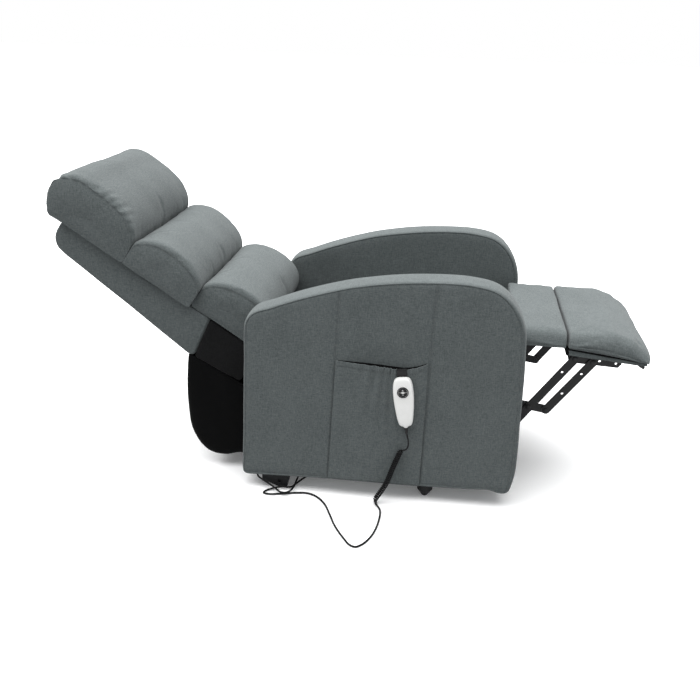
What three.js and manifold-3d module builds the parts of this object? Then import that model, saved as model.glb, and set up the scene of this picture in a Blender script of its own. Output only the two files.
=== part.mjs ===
// Lift recliner chair, fully reclined with its footrest out.
// Millimetres. The chair faces -Y, its own right side is -X, the floor is z = 0.
// Everything is drawn in the chair's own frame, and the whole group is shifted once at the end.
import * as THREE from "three";
import { mergeVertices } from "three/addons/utils/BufferGeometryUtils.js";
import Module from "manifold-3d";

const wasm = await Module();
wasm.setup();

// ---------- driving dimensions ----------
const GAP = 0.4; // clearance between touching pieces
const CUT_PAST = 3; // how far a cutting solid runs past the piece it cuts
const ARM_OUTER = 350; // half the overall width
const ARM_INNER = 255;
const SEAT_HALF = 248; // half-width of everything that moves between the arms
const ROLL_HALF = 272; // the stuffed rolls swell past the back shell
const PLATE_X = 210.5; // inner face of the steel side plate
const PLATE_T = 5;
const LINK_W = 24;
const LINK_T = 5;
const LINK_INNER_X = 197; // rear link, front link and footrest bracket
const LINK_OUTER_X = 203; // outer link and inner link
const PIN_R = 4.8;
const PIN_HOLE_R = 5.4;

// Pivots of the footrest linkage, as [y, z] with the footrest out. Both its cells are parallelograms.
const REAR_LINK_PIVOT = [-239, 279];
const CROSS_PIVOT = [-395.5, 257];
const REAR_LINK_END = [-445, 250];
const LEG = [-114, 154]; // from the lower to the upper pivot of the outer and inner links
const TAIL = [27.2, -42]; // from the cross pivot down to the front link's pivot
const plus = (p, q) => [p[0] + q[0], p[1] + q[1]];
const OUTER_TOP = plus(CROSS_PIVOT, LEG);
const INNER_TOP = plus(REAR_LINK_END, LEG);
const OUTER_TAIL = plus(CROSS_PIVOT, TAIL);
const FRONT_LINK_PIVOT = plus(REAR_LINK_PIVOT, TAIL);

const LIFT_PIVOT = [-310, 65];
const BACK_PIVOT = [340, 345];
const MOTOR_PIVOT = [-65, 50];
const MOTOR_BAR = [-167, 265];

// The back is drawn in its own plane: u runs up the back, v stands out of its front.
const BACK_ANGLE = THREE.MathUtils.degToRad(32.3);
const BACK_ORIGIN = [777, 628];

// The handset hangs in the pocket of the right arm.
const HANDSET = { y: -45, z: 306, tilt: THREE.MathUtils.degToRad(-7), back: 357.5, thick: 22 };

const CENTRE = new THREE.Vector3(16.45, -135.45, 0); // puts the middle of the chair's box over the origin

// ---------- materials ----------
const material = (color, roughness, metalness = 0) =>
  new THREE.MeshStandardMaterial({ color, roughness, metalness });
const FABRIC = () => material(0x6f7778, 0.9);
const BLACK_FABRIC = () => material(0x151617, 0.95);
const STEEL = () => material(0x1c1d1f, 0.5, 0.6);
const GALVANISED = () => material(0x9a9ea2, 0.4, 0.8);
const WOOD = () => material(0xb08d5f, 0.75);
const WHITE_PLASTIC = () => material(0xe8e8e6, 0.35);
const BLACK_PLASTIC = () => material(0x1a1b1c, 0.5);
const CORD = () => material(0x18191a, 0.6);

const chair = new THREE.Group();
chair.name = "lift_recliner_chair";

// ---------- builders ----------
function add(name, geometry, skin) {
  const mesh = new THREE.Mesh(geometry, skin);
  mesh.name = name;
  chair.add(mesh);
  return mesh;
}

function solid(geometry) {
  const bare = geometry.clone();
  bare.deleteAttribute("normal");
  bare.deleteAttribute("uv");
  const merged = mergeVertices(bare, 1e-3);
  return new wasm.Manifold(
    new wasm.Mesh({
      numProp: 3,
      vertProperties: merged.attributes.position.array,
      triVerts: new Uint32Array(merged.index.array),
    }),
  );
}

function geometryOf(made) {
  const mesh = made.getMesh();
  const geometry = new THREE.BufferGeometry();
  geometry.setAttribute("position", new THREE.BufferAttribute(mesh.vertProperties, 3));
  geometry.setIndex(new THREE.BufferAttribute(mesh.triVerts, 1));
  geometry.computeVertexNormals();
  return geometry;
}

function union(...geometries) {
  return geometryOf(geometries.map(solid).reduce((a, b) => a.add(b)));
}

function cut(geometry, ...tools) {
  return geometryOf(tools.map(solid).reduce((a, b) => a.subtract(b), solid(geometry)));
}

function box(x0, x1, y0, y1, z0, z1) {
  const geometry = new THREE.BoxGeometry(x1 - x0, y1 - y0, z1 - z0);
  return geometry.translate((x0 + x1) / 2, (y0 + y1) / 2, (z0 + z1) / 2);
}

const SIDEWAYS = new THREE.Matrix4().makeBasis(
  new THREE.Vector3(0, 1, 0),
  new THREE.Vector3(0, 0, 1),
  new THREE.Vector3(1, 0, 0),
);

// A side outline of [y, z] points, drawn across the chair from x0 to x1.
function across(outline, x0, x1) {
  const shape = new THREE.Shape(outline.map((p) => new THREE.Vector2(...p)));
  const geometry = new THREE.ExtrudeGeometry(shape, { depth: x1 - x0, steps: 1, bevelEnabled: false });
  return geometry.applyMatrix4(SIDEWAYS).translate(x0, 0, 0);
}

// A stuffed piece: the outline runs across the chair and draws in towards its middle at both ends.
function stuffed(outline, x0, x1, round) {
  const points = outline.map((p) => new THREE.Vector2(...p));
  if (THREE.ShapeUtils.isClockWise(points)) points.reverse();
  const count = points.length;
  const middle = points.reduce((sum, p) => sum.add(p), new THREE.Vector2()).divideScalar(count);
  const rings = [[x0, round], [x0 + 0.3 * round, 0.3 * round], [x0 + round, 0]];
  rings.push(...rings.map(([x, draw]) => [x0 + x1 - x, draw]).reverse());
  const positions = rings.flatMap(([x, draw]) =>
    points.flatMap((p) => {
      const inward = middle.clone().sub(p).setLength(draw);
      return [x, p.x + inward.x, p.y + inward.y];
    }),
  );
  const index = [];
  for (let ring = 0; ring + 1 < rings.length; ring++) {
    for (let i = 0; i < count; i++) {
      const a = ring * count + i;
      const b = ring * count + ((i + 1) % count);
      index.push(a, b, b + count, a, b + count, a + count);
    }
  }
  const last = (rings.length - 1) * count;
  for (const [a, b, c] of THREE.ShapeUtils.triangulateShape(points, [])) {
    index.push(a, c, b, last + a, last + b, last + c);
  }
  const geometry = new THREE.BufferGeometry();
  geometry.setAttribute("position", new THREE.Float32BufferAttribute(positions, 3));
  geometry.setIndex(index);
  geometry.computeVertexNormals();
  return geometry;
}

// A closed outline through the points, rounded as a spline.
function softOutline(points, count) {
  const curve = new THREE.SplineCurve([...points, points[0]].map((p) => new THREE.Vector2(...p)));
  return curve.getPoints(count).slice(0, -1).map((p) => [p.x, p.y]);
}

function rod([y, z], radius, x0, x1, sides = 20) {
  const geometry = new THREE.CylinderGeometry(radius, radius, x1 - x0, sides);
  return geometry.rotateZ(-Math.PI / 2).translate((x0 + x1) / 2, y, z);
}

function post(x, y, z0, z1, bottomRadius, topRadius, sides = 16) {
  const geometry = new THREE.CylinderGeometry(topRadius, bottomRadius, z1 - z0, sides);
  return geometry.rotateX(Math.PI / 2).translate(x, y, (z0 + z1) / 2);
}

// A tube along hand-chosen points, closed at both ends.
function tube(points, radius, steps, sides = 8) {
  const circle = new THREE.Shape(
    Array.from({ length: sides }, (_, i) => {
      const a = (i / sides) * 2 * Math.PI;
      return new THREE.Vector2(radius * Math.cos(a), radius * Math.sin(a));
    }),
  );
  const path = new THREE.CatmullRomCurve3(points.map((p) => new THREE.Vector3(...p)), false, "centripetal");
  return new THREE.ExtrudeGeometry(circle, { steps, extrudePath: path, bevelEnabled: false });
}

// A flat link with round ends at pivots a and b, with holes of [centre, radius].
const LINK_TURN = 6;
function linkBar(a, b, x0, holes = []) {
  const angle = Math.atan2(b[1] - a[1], b[0] - a[0]);
  const end = (centre, from) =>
    Array.from({ length: LINK_TURN + 1 }, (_, i) => {
      const t = from + (i / LINK_TURN) * Math.PI;
      return [centre[0] + (LINK_W / 2) * Math.cos(t), centre[1] + (LINK_W / 2) * Math.sin(t)];
    });
  const outline = [...end(b, angle - Math.PI / 2), ...end(a, angle + Math.PI / 2)];
  const bar = across(outline, x0, x0 + LINK_T);
  if (holes.length === 0) return bar;
  return cut(bar, ...holes.map(([centre, radius]) => rod(centre, radius, x0 - 2, x0 + LINK_T + 2, 12)));
}

// Point of the back's plane as [y, z].
function onBack([u, v]) {
  const c = Math.cos(BACK_ANGLE);
  const s = Math.sin(BACK_ANGLE);
  return [BACK_ORIGIN[0] + u * c - v * s, BACK_ORIGIN[1] + u * s + v * c];
}

// A piece made for the left side, mirrored for the right with its faces turned back outwards.
function mirrored(geometry) {
  const bare = new THREE.BufferGeometry();
  bare.setAttribute("position", geometry.getAttribute("position").clone());
  if (geometry.index) bare.setIndex(geometry.index.clone());
  const copy = mergeVertices(bare, 1e-4).scale(-1, 1, 1);
  for (let i = 0; i < copy.index.count; i += 3) {
    const first = copy.index.getX(i);
    copy.index.setX(i, copy.index.getX(i + 1));
    copy.index.setX(i + 1, first);
  }
  copy.computeVertexNormals();
  return copy;
}

function pair(name, geometry, skin) {
  add(name + "_L", geometry, skin());
  add(name + "_R", mirrored(geometry), skin());
}

// ---------- floor frame ----------
const RAIL = { x0: 222, x1: 247, z0: 12, z1: 37, front: -330, rear: 315 };
const FRONT_BAR_Y = -118;
const REAR_BAR_Y = 302;
const BAR_HALF = 12;
const FRONT_BAR_END = 281;
const FRONT_FOOT = { x: 304, lip: 20, top: 40, tip: 8, radius: 22 };
const REAR_BAR_END = 334;
const BRACKET_Z = 30; // the lugs, the clevis and its cleat stand up from inside the bars
const LUG = { half: 18, top: 82 };
const CLEVIS = { x: 24, thick: 5, reach: 11, top: 62, cleatDeep: 16, cleatTop: 38 };
const CLEVIS_OUTER = CLEVIS.x + CLEVIS.thick;
const SHAFT_R = 9;
const GLIDE = { radius: 14, frontX: 234.5, frontY: -312, rearX: 318 };
const sided = (side, a, b) => [side * a, side * b].sort((p, q) => p - q);
const lug = (side) =>
  box(
    ...sided(side, RAIL.x0, RAIL.x1),
    LIFT_PIVOT[0] - LUG.half,
    LIFT_PIVOT[0] + LUG.half,
    BRACKET_Z,
    LUG.top,
  );
const rail = (side) => box(...sided(side, RAIL.x0, RAIL.x1), RAIL.front, RAIL.rear, RAIL.z0, RAIL.z1);
const clevis = (side) =>
  box(
    ...sided(side, CLEVIS.x, CLEVIS_OUTER),
    FRONT_BAR_Y,
    MOTOR_PIVOT[0] + CLEVIS.reach,
    BRACKET_Z,
    CLEVIS.top,
  );
const cleat = box(
  -CLEVIS_OUTER,
  CLEVIS_OUTER,
  FRONT_BAR_Y,
  FRONT_BAR_Y + CLEVIS.cleatDeep,
  BRACKET_Z,
  CLEVIS.cleatTop,
);
const crossBar = (end, y, z0, z1) => box(-end, end, y - BAR_HALF, y + BAR_HALF, z0, z1);
add(
  "base_frame",
  union(
    rail(1),
    rail(-1),
    lug(1),
    lug(-1),
    clevis(1),
    clevis(-1),
    cleat,
    crossBar(FRONT_BAR_END, FRONT_BAR_Y, RAIL.z0, RAIL.z1 - 1),
    crossBar(REAR_BAR_END, REAR_BAR_Y, RAIL.z0 + 1, RAIL.z1 - 1),
  ),
  STEEL(),
);
add("lift_shaft", rod(LIFT_PIVOT, SHAFT_R, -RAIL.x0 + GAP, RAIL.x0 - GAP), GALVANISED());
const frontFoot = union(
  post(FRONT_FOOT.x, FRONT_BAR_Y, 0, FRONT_FOOT.lip, FRONT_FOOT.tip, FRONT_FOOT.radius, 24),
  post(FRONT_FOOT.x, FRONT_BAR_Y, FRONT_FOOT.lip, FRONT_FOOT.top, FRONT_FOOT.radius, FRONT_FOOT.radius, 24),
);
pair("foot_front", frontFoot, BLACK_PLASTIC);
const glide = (x, y, top) => post(x, y, 0, top - GAP, GLIDE.radius, GLIDE.radius);
pair("glide_front", glide(GLIDE.frontX, GLIDE.frontY, RAIL.z0), BLACK_PLASTIC);
const FOOT_OUTLINE = [[267, 44], [270, 34], [277, 6], [300, 4], [320, 11], [336, 17], [351, 18], [350, 44]];
const FOOT_X = [335, 340];
const FOOT_HOLE = { at: [300, 23], radius: 6 };
const footHole = rod(FOOT_HOLE.at, FOOT_HOLE.radius, FOOT_X[0] - CUT_PAST, FOOT_X[1] + CUT_PAST, 12);
pair("foot_rear", cut(across(FOOT_OUTLINE, ...FOOT_X), footHole), STEEL);
pair("glide_rear", glide(GLIDE.rearX, REAR_BAR_Y, RAIL.z0 + 1), BLACK_PLASTIC);

// ---------- seat frame ----------
const PLATE_OUTLINE = [
  [-330, 52], [-290, 48], [300, 58], [388, 62], [388, 100], [366, 330], [356, 362], [340, 368], [324, 362],
  [306, 300], [-200, 306], [-285, 300], [-305, 240], [-318, 90], [-332, 78],
];
const PLATE_HOLES = [
  [LIFT_PIVOT, 9.8],
  [REAR_LINK_PIVOT, 8.8],
  [FRONT_LINK_PIVOT, 6.8],
  [BACK_PIVOT, 8.8],
];
const PLATE_CUT = [PLATE_X - CUT_PAST, PLATE_X + PLATE_T + CUT_PAST];
const plateHole = ([centre, radius]) => rod(centre, radius, ...PLATE_CUT, 16);
const WINDOW_Z = [110, 235];
const WINDOWS = [[-120, 60], [110, 290]].map((span) => box(...PLATE_CUT, ...span, ...WINDOW_Z));
pair(
  "side_plate",
  cut(across(PLATE_OUTLINE, PLATE_X, PLATE_X + PLATE_T), ...PLATE_HOLES.map(plateHole), ...WINDOWS),
  STEEL,
);
const SIDE_RAIL = { y: [-296, 300], z: [306, 345] };
const FRONT_RAIL = { y: [-322, -298], z: [306, 344] };
const REAR_RAIL = { y: [262, 285], z: [300, 344] };
const CROSS_RAIL_HALF = 209;
const crossRail = ({ y, z }) => box(-CROSS_RAIL_HALF, CROSS_RAIL_HALF, ...y, ...z);
pair(
  "side_rail",
  box(PLATE_X + PLATE_T + GAP, ARM_INNER - GAP, ...SIDE_RAIL.y, ...SIDE_RAIL.z),
  WOOD,
);
add("front_rail", crossRail(FRONT_RAIL), WOOD());
add("rear_rail", crossRail(REAR_RAIL), WOOD());
add("motor_bar", rod(MOTOR_BAR, 8, -PLATE_X + GAP, PLATE_X - GAP, 16), GALVANISED());

// Zigzag springs run from the front rail to the rear rail.
const SPRING = { r: 1.8, z: 322, y0: -296, y1: 260, bends: 14, swing: 22 };
for (const [i, x] of [-120, 0, 120].entries()) {
  const points = Array.from({ length: SPRING.bends + 1 }, (_, k) => {
    const end = k === 0 || k === SPRING.bends;
    const y = SPRING.y0 + ((SPRING.y1 - SPRING.y0) * k) / SPRING.bends;
    return [x + (end ? 0 : SPRING.swing * (k % 2 ? 1 : -1)), y, SPRING.z];
  });
  add("seat_spring_" + (i + 1), tube(points, SPRING.r, 42, 6), GALVANISED());
}
const SEAT = [
  [-328, 352], [-322, 347], [218, 347], [226, 356], [226, 474], [212, 485], [-310, 487], [-328, 474],
];
const REAR_PAD = { half: 207, y: [229, 334], z: [346, 403] };
add("seat_cushion", stuffed(SEAT, -SEAT_HALF, SEAT_HALF, 10), FABRIC());
add("seat_rear_pad", box(-REAR_PAD.half, REAR_PAD.half, ...REAR_PAD.y, ...REAR_PAD.z), BLACK_FABRIC());

// ---------- arms ----------
const ARM_OUTLINE = [
  [-340, 45], [392, 45], [400, 53], [400, 492], [392, 514], [375, 531], [326, 550], [272, 571], [219, 589],
  [167, 605], [115, 619], [63, 629], [11, 637], [-40, 643], [-91, 647], [-142, 649], [-193, 648],
  [-244, 641], [-272, 633], [-299, 617], [-321, 595], [-339, 568], [-352, 536], [-358, 509],
  [-362, 425], [-364, 340],
  [-364, 253], [-362, 162], [-357, 101], [-353, 60],
];
pair("arm", stuffed(ARM_OUTLINE, ARM_INNER, ARM_OUTER, 8), FABRIC);

// The pocket is sewn down at its sides and foot, and stands a little open at its mouth.
const POCKET = {
  y0: -107,
  y1: 144,
  z0: 50,
  frontTop: 421,
  rearTop: 411,
  sag: 27,
  sagLean: 0.7,
  bulge: 5,
  thick: 3,
};
function pocketGeometry() {
  const columns = 12;
  const rows = 6;
  const positions = [];
  const sheet = (layer) => {
    for (let j = 0; j <= rows; j++) {
      for (let i = 0; i <= columns; i++) {
        const s = i / columns;
        const t = j / rows;
        const arch = Math.sin(Math.PI * s);
        const sag = POCKET.sag * Math.sin(Math.PI * s ** POCKET.sagLean);
        const mouth = POCKET.frontTop + (POCKET.rearTop - POCKET.frontTop) * s - sag;
        const x = ARM_OUTER + GAP + POCKET.bulge * arch * t * t + layer * POCKET.thick;
        positions.push(-x, POCKET.y0 + (POCKET.y1 - POCKET.y0) * s, POCKET.z0 + (mouth - POCKET.z0) * t);
      }
    }
  };
  sheet(0);
  sheet(1);
  const row = columns + 1;
  const at = (layer, i, j) => layer * row * (rows + 1) + j * row + i;
  const index = [];
  const quad = (a, b, c, d) => index.push(a, b, c, a, c, d);
  for (let j = 0; j < rows; j++) {
    for (let i = 0; i < columns; i++) {
      quad(at(0, i, j), at(0, i + 1, j), at(0, i + 1, j + 1), at(0, i, j + 1));
      quad(at(1, i, j), at(1, i, j + 1), at(1, i + 1, j + 1), at(1, i + 1, j));
    }
    quad(at(0, 0, j), at(0, 0, j + 1), at(1, 0, j + 1), at(1, 0, j));
    quad(at(0, columns, j), at(1, columns, j), at(1, columns, j + 1), at(0, columns, j + 1));
  }
  for (let i = 0; i < columns; i++) {
    quad(at(0, i, 0), at(1, i, 0), at(1, i + 1, 0), at(0, i + 1, 0));
    quad(at(0, i, rows), at(0, i + 1, rows), at(1, i + 1, rows), at(1, i, rows));
  }
  const geometry = new THREE.BufferGeometry();
  geometry.setAttribute("position", new THREE.Float32BufferAttribute(positions, 3));
  geometry.setIndex(index);
  geometry.computeVertexNormals();
  return geometry;
}
add("side_pocket", pocketGeometry(), FABRIC());

// ---------- handset ----------
// Drawn flat with y across and z up, its back towards the pocket, then tilted about its own middle.
const handsetPiece = (geometry) => geometry.rotateX(HANDSET.tilt).translate(0, HANDSET.y, HANDSET.z);
const HANDSET_FRONT = -(HANDSET.back + HANDSET.thick);
const CASE_SIDE = [[27, 40], [20, 64], [0, 71], [-20, 64], [-27, 40]];
const CASE_FOOT = [[-27, 10], [-22, -40], [-16, -66], [0, -73], [16, -66], [22, -40], [27, 10]];
const CASE = softOutline([CASE_SIDE.at(-1), ...CASE_FOOT, ...CASE_SIDE.slice(0, -1)], 36);
add("handset_case", handsetPiece(stuffed(CASE, HANDSET_FRONT, -HANDSET.back, 4)), WHITE_PLASTIC());
const KEYPAD_Z = 33;
const BUTTON = { r: 13, half: 1.2, ring: 15.5, ringT: 2, top: 3.4, under: 1.4, sides: 12, cut: 10 };
add(
  "keypad_ring",
  handsetPiece(
    cut(
      rod([0, KEYPAD_Z], BUTTON.ring, HANDSET_FRONT - GAP - BUTTON.ringT, HANDSET_FRONT - GAP, 24),
      rod([0, KEYPAD_Z], BUTTON.r + GAP, HANDSET_FRONT - BUTTON.cut, HANDSET_FRONT + BUTTON.cut, 24),
    ),
  ),
  BLACK_PLASTIC(),
);
for (const [name, from] of [["button_up", 0], ["button_down", Math.PI]]) {
  const wide = BUTTON.r - 1;
  const tall = wide - BUTTON.half;
  const lift = from === 0 ? BUTTON.half : -BUTTON.half;
  const shape = Array.from({ length: BUTTON.sides + 1 }, (_, i) => {
    const a = from + (i / BUTTON.sides) * Math.PI;
    return [wide * Math.cos(a), KEYPAD_Z + lift + tall * Math.sin(a)];
  });
  add(
    name,
    handsetPiece(across(shape, HANDSET_FRONT - BUTTON.top, HANDSET_FRONT - BUTTON.under)),
    BLACK_PLASTIC(),
  );
}
// The hook goes over the pocket's mouth: a front leg on the case's top, a bridge, a rear leg inside.
const HOOK = {
  half: 11,
  rearX: [-353.0, -350.9],
  frontX: [-364, -360],
  rearFoot: 74,
  frontFoot: 72,
  top: 99,
  bridge: 3,
};
const hookPart = (x0, x1, z0) => box(x0, x1, -HOOK.half, HOOK.half, z0, HOOK.top);
add(
  "handset_hook",
  handsetPiece(
    union(
      hookPart(...HOOK.rearX, HOOK.rearFoot),
      hookPart(HOOK.frontX[0], HOOK.rearX[1], HOOK.top - HOOK.bridge),
      hookPart(...HOOK.frontX, HOOK.frontFoot),
    ),
  ),
  BLACK_PLASTIC(),
);
const CORD_X = -(HANDSET.back + HANDSET.thick / 2);
const GLAND = { foot: -92, top: -73.5, footR: 3.6, topR: 5.5 };
const glandPost = post(CORD_X, 0, GLAND.foot, GLAND.top, GLAND.footR, GLAND.topR, 12);
add("handset_gland", handsetPiece(glandPost), BLACK_PLASTIC());

// ---------- cords ----------
const CORD_R = 2.5;
const COIL_R = 8;
const leadTop = new THREE.Vector3(CORD_X, 0, GLAND.foot - GAP)
  .applyAxisAngle(new THREE.Vector3(1, 0, 0), HANDSET.tilt)
  .add(new THREE.Vector3(0, HANDSET.y, HANDSET.z));
const COIL_TOP = [-366, -44, 158];
const COIL_FOOT = [-382, 19, 10];
const LEAD_ROUTE = [
  leadTop.toArray(),
  [-368, -61, 198], [-368, -67, 181], [-367, -63, 168], [-366.5, -54.5, 162], [-366, -48, 160.5],
];
add("handset_lead", tube(LEAD_ROUTE, CORD_R, 14), CORD());
add("handset_coil", tube([COIL_TOP, [-370, -25, 107], [-375, -7, 57], COIL_FOOT], COIL_R, 14, 10), CORD());
const FLOOR_Z = CORD_R + 0.3;
const lay = (points) => points.map(([x, y]) => [x, y, FLOOR_Z]);
const FLOOR_ROUTE = [
  [-390.5, 17, 8], [-398, 11, 4.5],
  ...lay([
    [-421, 0], [-489, -1], [-555, 10], [-599, 29], [-615, 46], [-609, 61], [-579, 82], [-522, 113],
    [-466, 135], [-414, 157], [-378, 185], [-363, 213], [-367, 250], [-379, 290], [-386, 320],
    [-381, 338], [-369, 334],
  ]),
  [-353, 310, 6], [-347, 288, 8], [-345, 274, 7], [-336, 264, 5],
  ...lay([[-314, 256], [-286, 244], [-235, 222], [-185, 222]]),
  [-150, 236, 12], [-135, 258, 60], [-132, 264, 140], [-132, 264, 200], [-132, 264, 232],
];
add("floor_lead", tube(FLOOR_ROUTE, CORD_R, 78), CORD());
const REAR_ROUTE = [
  [-165, 275, 232], [-165, 275, 205], [-167, 300, 140], [-180, 330, 75], [-205, 348, 48], [-240, 358, 40],
  [-290, 365, 34], [-333, 365, 31], [-349, 347, 27], [-353, 328, 18], [-368, 305, 12], [-380, 291, 10],
  [-383, 276, 10], [-372, 264, 10], [-344, 257, 10], [-300, 256, 9], [-235, 250, 8.8], [-205, 226, 9.5],
  [-165, 165, 12], [-90, 80, 20], [-45, 20, 30], [-15, -12, 40], [0, -22, 48],
];
add("rear_lead", tube(REAR_ROUTE, CORD_R, 74), CORD());

// ---------- control box ----------
const CONTROL = { x: [-195, -75], y: [226, 320], z: [250, 300 - GAP], glands: [[-132, 264], [-165, 275]] };
const controlGland = ([x, y]) => post(x, y, 232 + GAP, CONTROL.z[0] + 2, 4, 6, 12);
add(
  "control_box",
  union(box(...CONTROL.x, ...CONTROL.y, ...CONTROL.z), ...CONTROL.glands.map(controlGland)),
  BLACK_PLASTIC(),
);

// ---------- dust cover ----------
// A cloth bag between the back and the underside, open at its front and top.
const COVER_CURVE = [
  [588, 342], [597, 266], [594, 192], [588, 132], [575, 88], [554, 56], [523, 39], [487, 35], [459, 42],
  [432, 52], [397, 66],
];
const COVER_T = 3;
const COVER_MIDDLE = [470, 210];
const inset = ([y, z]) => {
  const dy = COVER_MIDDLE[0] - y;
  const dz = COVER_MIDDLE[1] - z;
  const length = Math.hypot(dy, dz);
  return [y + (dy / length) * COVER_T, z + (dz / length) * COVER_T];
};
const COVER_HALF = 244;
const coverOuter = [...COVER_CURVE].reverse().concat([[562, 340], [442, 279], [392, 250]]);
const coverInner = [[380, 68], ...COVER_CURVE.slice(1, -1).reverse().map(inset), [584, 400], [380, 400]];
const COVER_INSIDE = COVER_HALF - COVER_T;
add(
  "dust_cover",
  cut(
    across(coverOuter, -COVER_HALF, COVER_HALF),
    across(coverInner, -COVER_INSIDE, COVER_INSIDE),
  ),
  BLACK_FABRIC(),
);

// ---------- back ----------
const backPiece = (outline, half, round) => stuffed(outline.map(onBack), -half, half, round);
// A roll's outline is a spline through its points, kept off the front of the shell.
const SHELL_TOP = 195;
const rollOutline = (points, count) =>
  softOutline(points, count).map(([u, v]) => [u, u < SHELL_TOP ? Math.max(v, 0.5) : v]);
const SHELL = [
  [-304, -8], [-322, -124], [-310, -128.5], [140, -83], [170, -76], [186, -58], [190, -40], [190, -8],
  [180, -0.5], [-294, -0.5],
];
add("back_shell", backPiece(SHELL, SEAT_HALF - 3, 6), FABRIC());
const LOWER = [[-470, -6], [-470, -112], [-323, -126], [-305, -6]];
add("back_lower", backPiece(LOWER, SEAT_HALF - 4, 4), BLACK_FABRIC());
const ROLLS = {
  head: [
    [8, 1], [-11, 38], [-12, 72], [33, 126], [80, 139], [150, 144], [205, 140], [240, 124], [262, 94],
    [268, 58], [260, 20], [236, -3], [206, 1], [110, 1],
  ],
  mid: [
    [-218, 1], [-230, 35], [-230, 66], [-190, 112], [-130, 127], [-72, 122], [-32, 98], [-18, 74],
    [-17, 38], [-6, 1], [-60, 1], [-160, 1],
  ],
  low: [
    [-440, 1], [-460, 40], [-456, 80], [-434, 108], [-384, 123], [-325, 119], [-272, 98], [-242, 68],
    [-240, 35], [-232, 1], [-290, 1], [-390, 1],
  ],
};
add("roll_head", backPiece(rollOutline(ROLLS.head, 34), ROLL_HALF, 22), FABRIC());
add("roll_mid", backPiece(rollOutline(ROLLS.mid, 30), ROLL_HALF, 20), FABRIC());
add("roll_low", backPiece(rollOutline(ROLLS.low, 30), SEAT_HALF, 18), FABRIC());
const BRACKET_X = PLATE_X + PLATE_T + GAP;
const BACK_PIN_R = 8;
const HINGED = [
  [-542, -6], [-536, -20], [-520, -28], [-471, -96], [-471, -16], [-505, 12], [-520, 16], [-536, 8],
];
pair(
  "back_bracket",
  union(
    across(HINGED.map(onBack), BRACKET_X, BRACKET_X + PLATE_T),
    rod(BACK_PIVOT, BACK_PIN_R, PLATE_X - 2, BRACKET_X + 1),
  ),
  STEEL,
);

// ---------- footrest linkage ----------
const pinThrough = (centre) => rod(centre, PIN_R, LINK_INNER_X - 1, LINK_OUTER_X + 1, 14);
const STUB_END = PLATE_X + PLATE_T + 1;
pair(
  "link_rear",
  union(
    linkBar(REAR_LINK_PIVOT, REAR_LINK_END, LINK_INNER_X, [
      [CROSS_PIVOT, PIN_HOLE_R],
      [REAR_LINK_END, PIN_HOLE_R],
    ]),
    rod(REAR_LINK_PIVOT, 8, LINK_INNER_X + 1, STUB_END, 16),
  ),
  STEEL,
);
add("torque_tube", rod(REAR_LINK_PIVOT, 11, -LINK_INNER_X + GAP, LINK_INNER_X - GAP), STEEL());
pair(
  "link_front",
  union(
    linkBar(FRONT_LINK_PIVOT, OUTER_TAIL, LINK_INNER_X, [[OUTER_TAIL, PIN_HOLE_R]]),
    rod(FRONT_LINK_PIVOT, 6, LINK_INNER_X + 1, STUB_END, 14),
  ),
  STEEL,
);
const SMALL_HOLE_R = 3.5;
const along = (a, b, t) => [a[0] + (b[0] - a[0]) * t, a[1] + (b[1] - a[1]) * t];
pair(
  "link_outer",
  union(
    linkBar(OUTER_TAIL, OUTER_TOP, LINK_OUTER_X, [[along(CROSS_PIVOT, OUTER_TOP, 0.725), SMALL_HOLE_R]]),
    pinThrough(OUTER_TAIL),
    pinThrough(CROSS_PIVOT),
    pinThrough(OUTER_TOP),
  ),
  STEEL,
);
pair(
  "link_inner",
  union(
    linkBar(REAR_LINK_END, INNER_TOP, LINK_OUTER_X, [
      [along(REAR_LINK_END, INNER_TOP, 0.35), SMALL_HOLE_R],
      [along(REAR_LINK_END, INNER_TOP, 0.76), SMALL_HOLE_R],
    ]),
    pinThrough(REAR_LINK_END),
    pinThrough(INNER_TOP),
  ),
  STEEL,
);

// ---------- footrest ----------
const BOARD = { rear: -478, front: -700, rearZ: 434.5, frontZ: 416, rearThick: 15, frontThick: 7 };
const BOARD_SLOPE = (BOARD.frontZ - BOARD.rearZ) / (BOARD.front - BOARD.rear);
const boardZ = (y) => BOARD.rearZ + (y - BOARD.rear) * BOARD_SLOPE;
const BRACKET = { rear: -486, front: -637, frontDeep: 30, rearDeep: 36, holeDrop: 19.5 };
const bracketOutline = [
  [BRACKET.front + 9, boardZ(BRACKET.front) - BRACKET.frontDeep],
  [BRACKET.rear - 8, boardZ(BRACKET.rear) - BRACKET.rearDeep],
  [BRACKET.rear, boardZ(BRACKET.rear) - 12],
  [BRACKET.rear, boardZ(BRACKET.rear) - GAP],
  [BRACKET.front, boardZ(BRACKET.front) - GAP],
  [BRACKET.front, boardZ(BRACKET.front) - BRACKET.holeDrop],
];
const BRACKET_HOLES = [-577, -622].map((y) => [[y, boardZ(y) - BRACKET.holeDrop], SMALL_HOLE_R]);
pair(
  "footrest_bracket",
  cut(
    across(bracketOutline, LINK_INNER_X, LINK_INNER_X + LINK_T),
    ...[[OUTER_TOP, PIN_HOLE_R], [INNER_TOP, PIN_HOLE_R], ...BRACKET_HOLES].map(([centre, radius]) =>
      rod(centre, radius, LINK_INNER_X - 2, LINK_INNER_X + LINK_T + 2, 12),
    ),
  ),
  STEEL,
);
const boardOutline = [
  [BOARD.front, BOARD.frontZ],
  [BOARD.rear, BOARD.rearZ],
  [BOARD.rear, BOARD.rearZ + BOARD.rearThick],
  [BOARD.front, BOARD.frontZ + BOARD.frontThick],
];
add("footrest_board", stuffed(boardOutline, -SEAT_HALF + 2, SEAT_HALF - 2, 3), FABRIC());
const END_PAD = [
  [-701, 423.5], [-479.5, 450], [-482, 474], [-492, 484], [-546, 491], [-612, 489], [-668, 473],
  [-704, 450], [-715, 434], [-712, 425],
];
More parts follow.
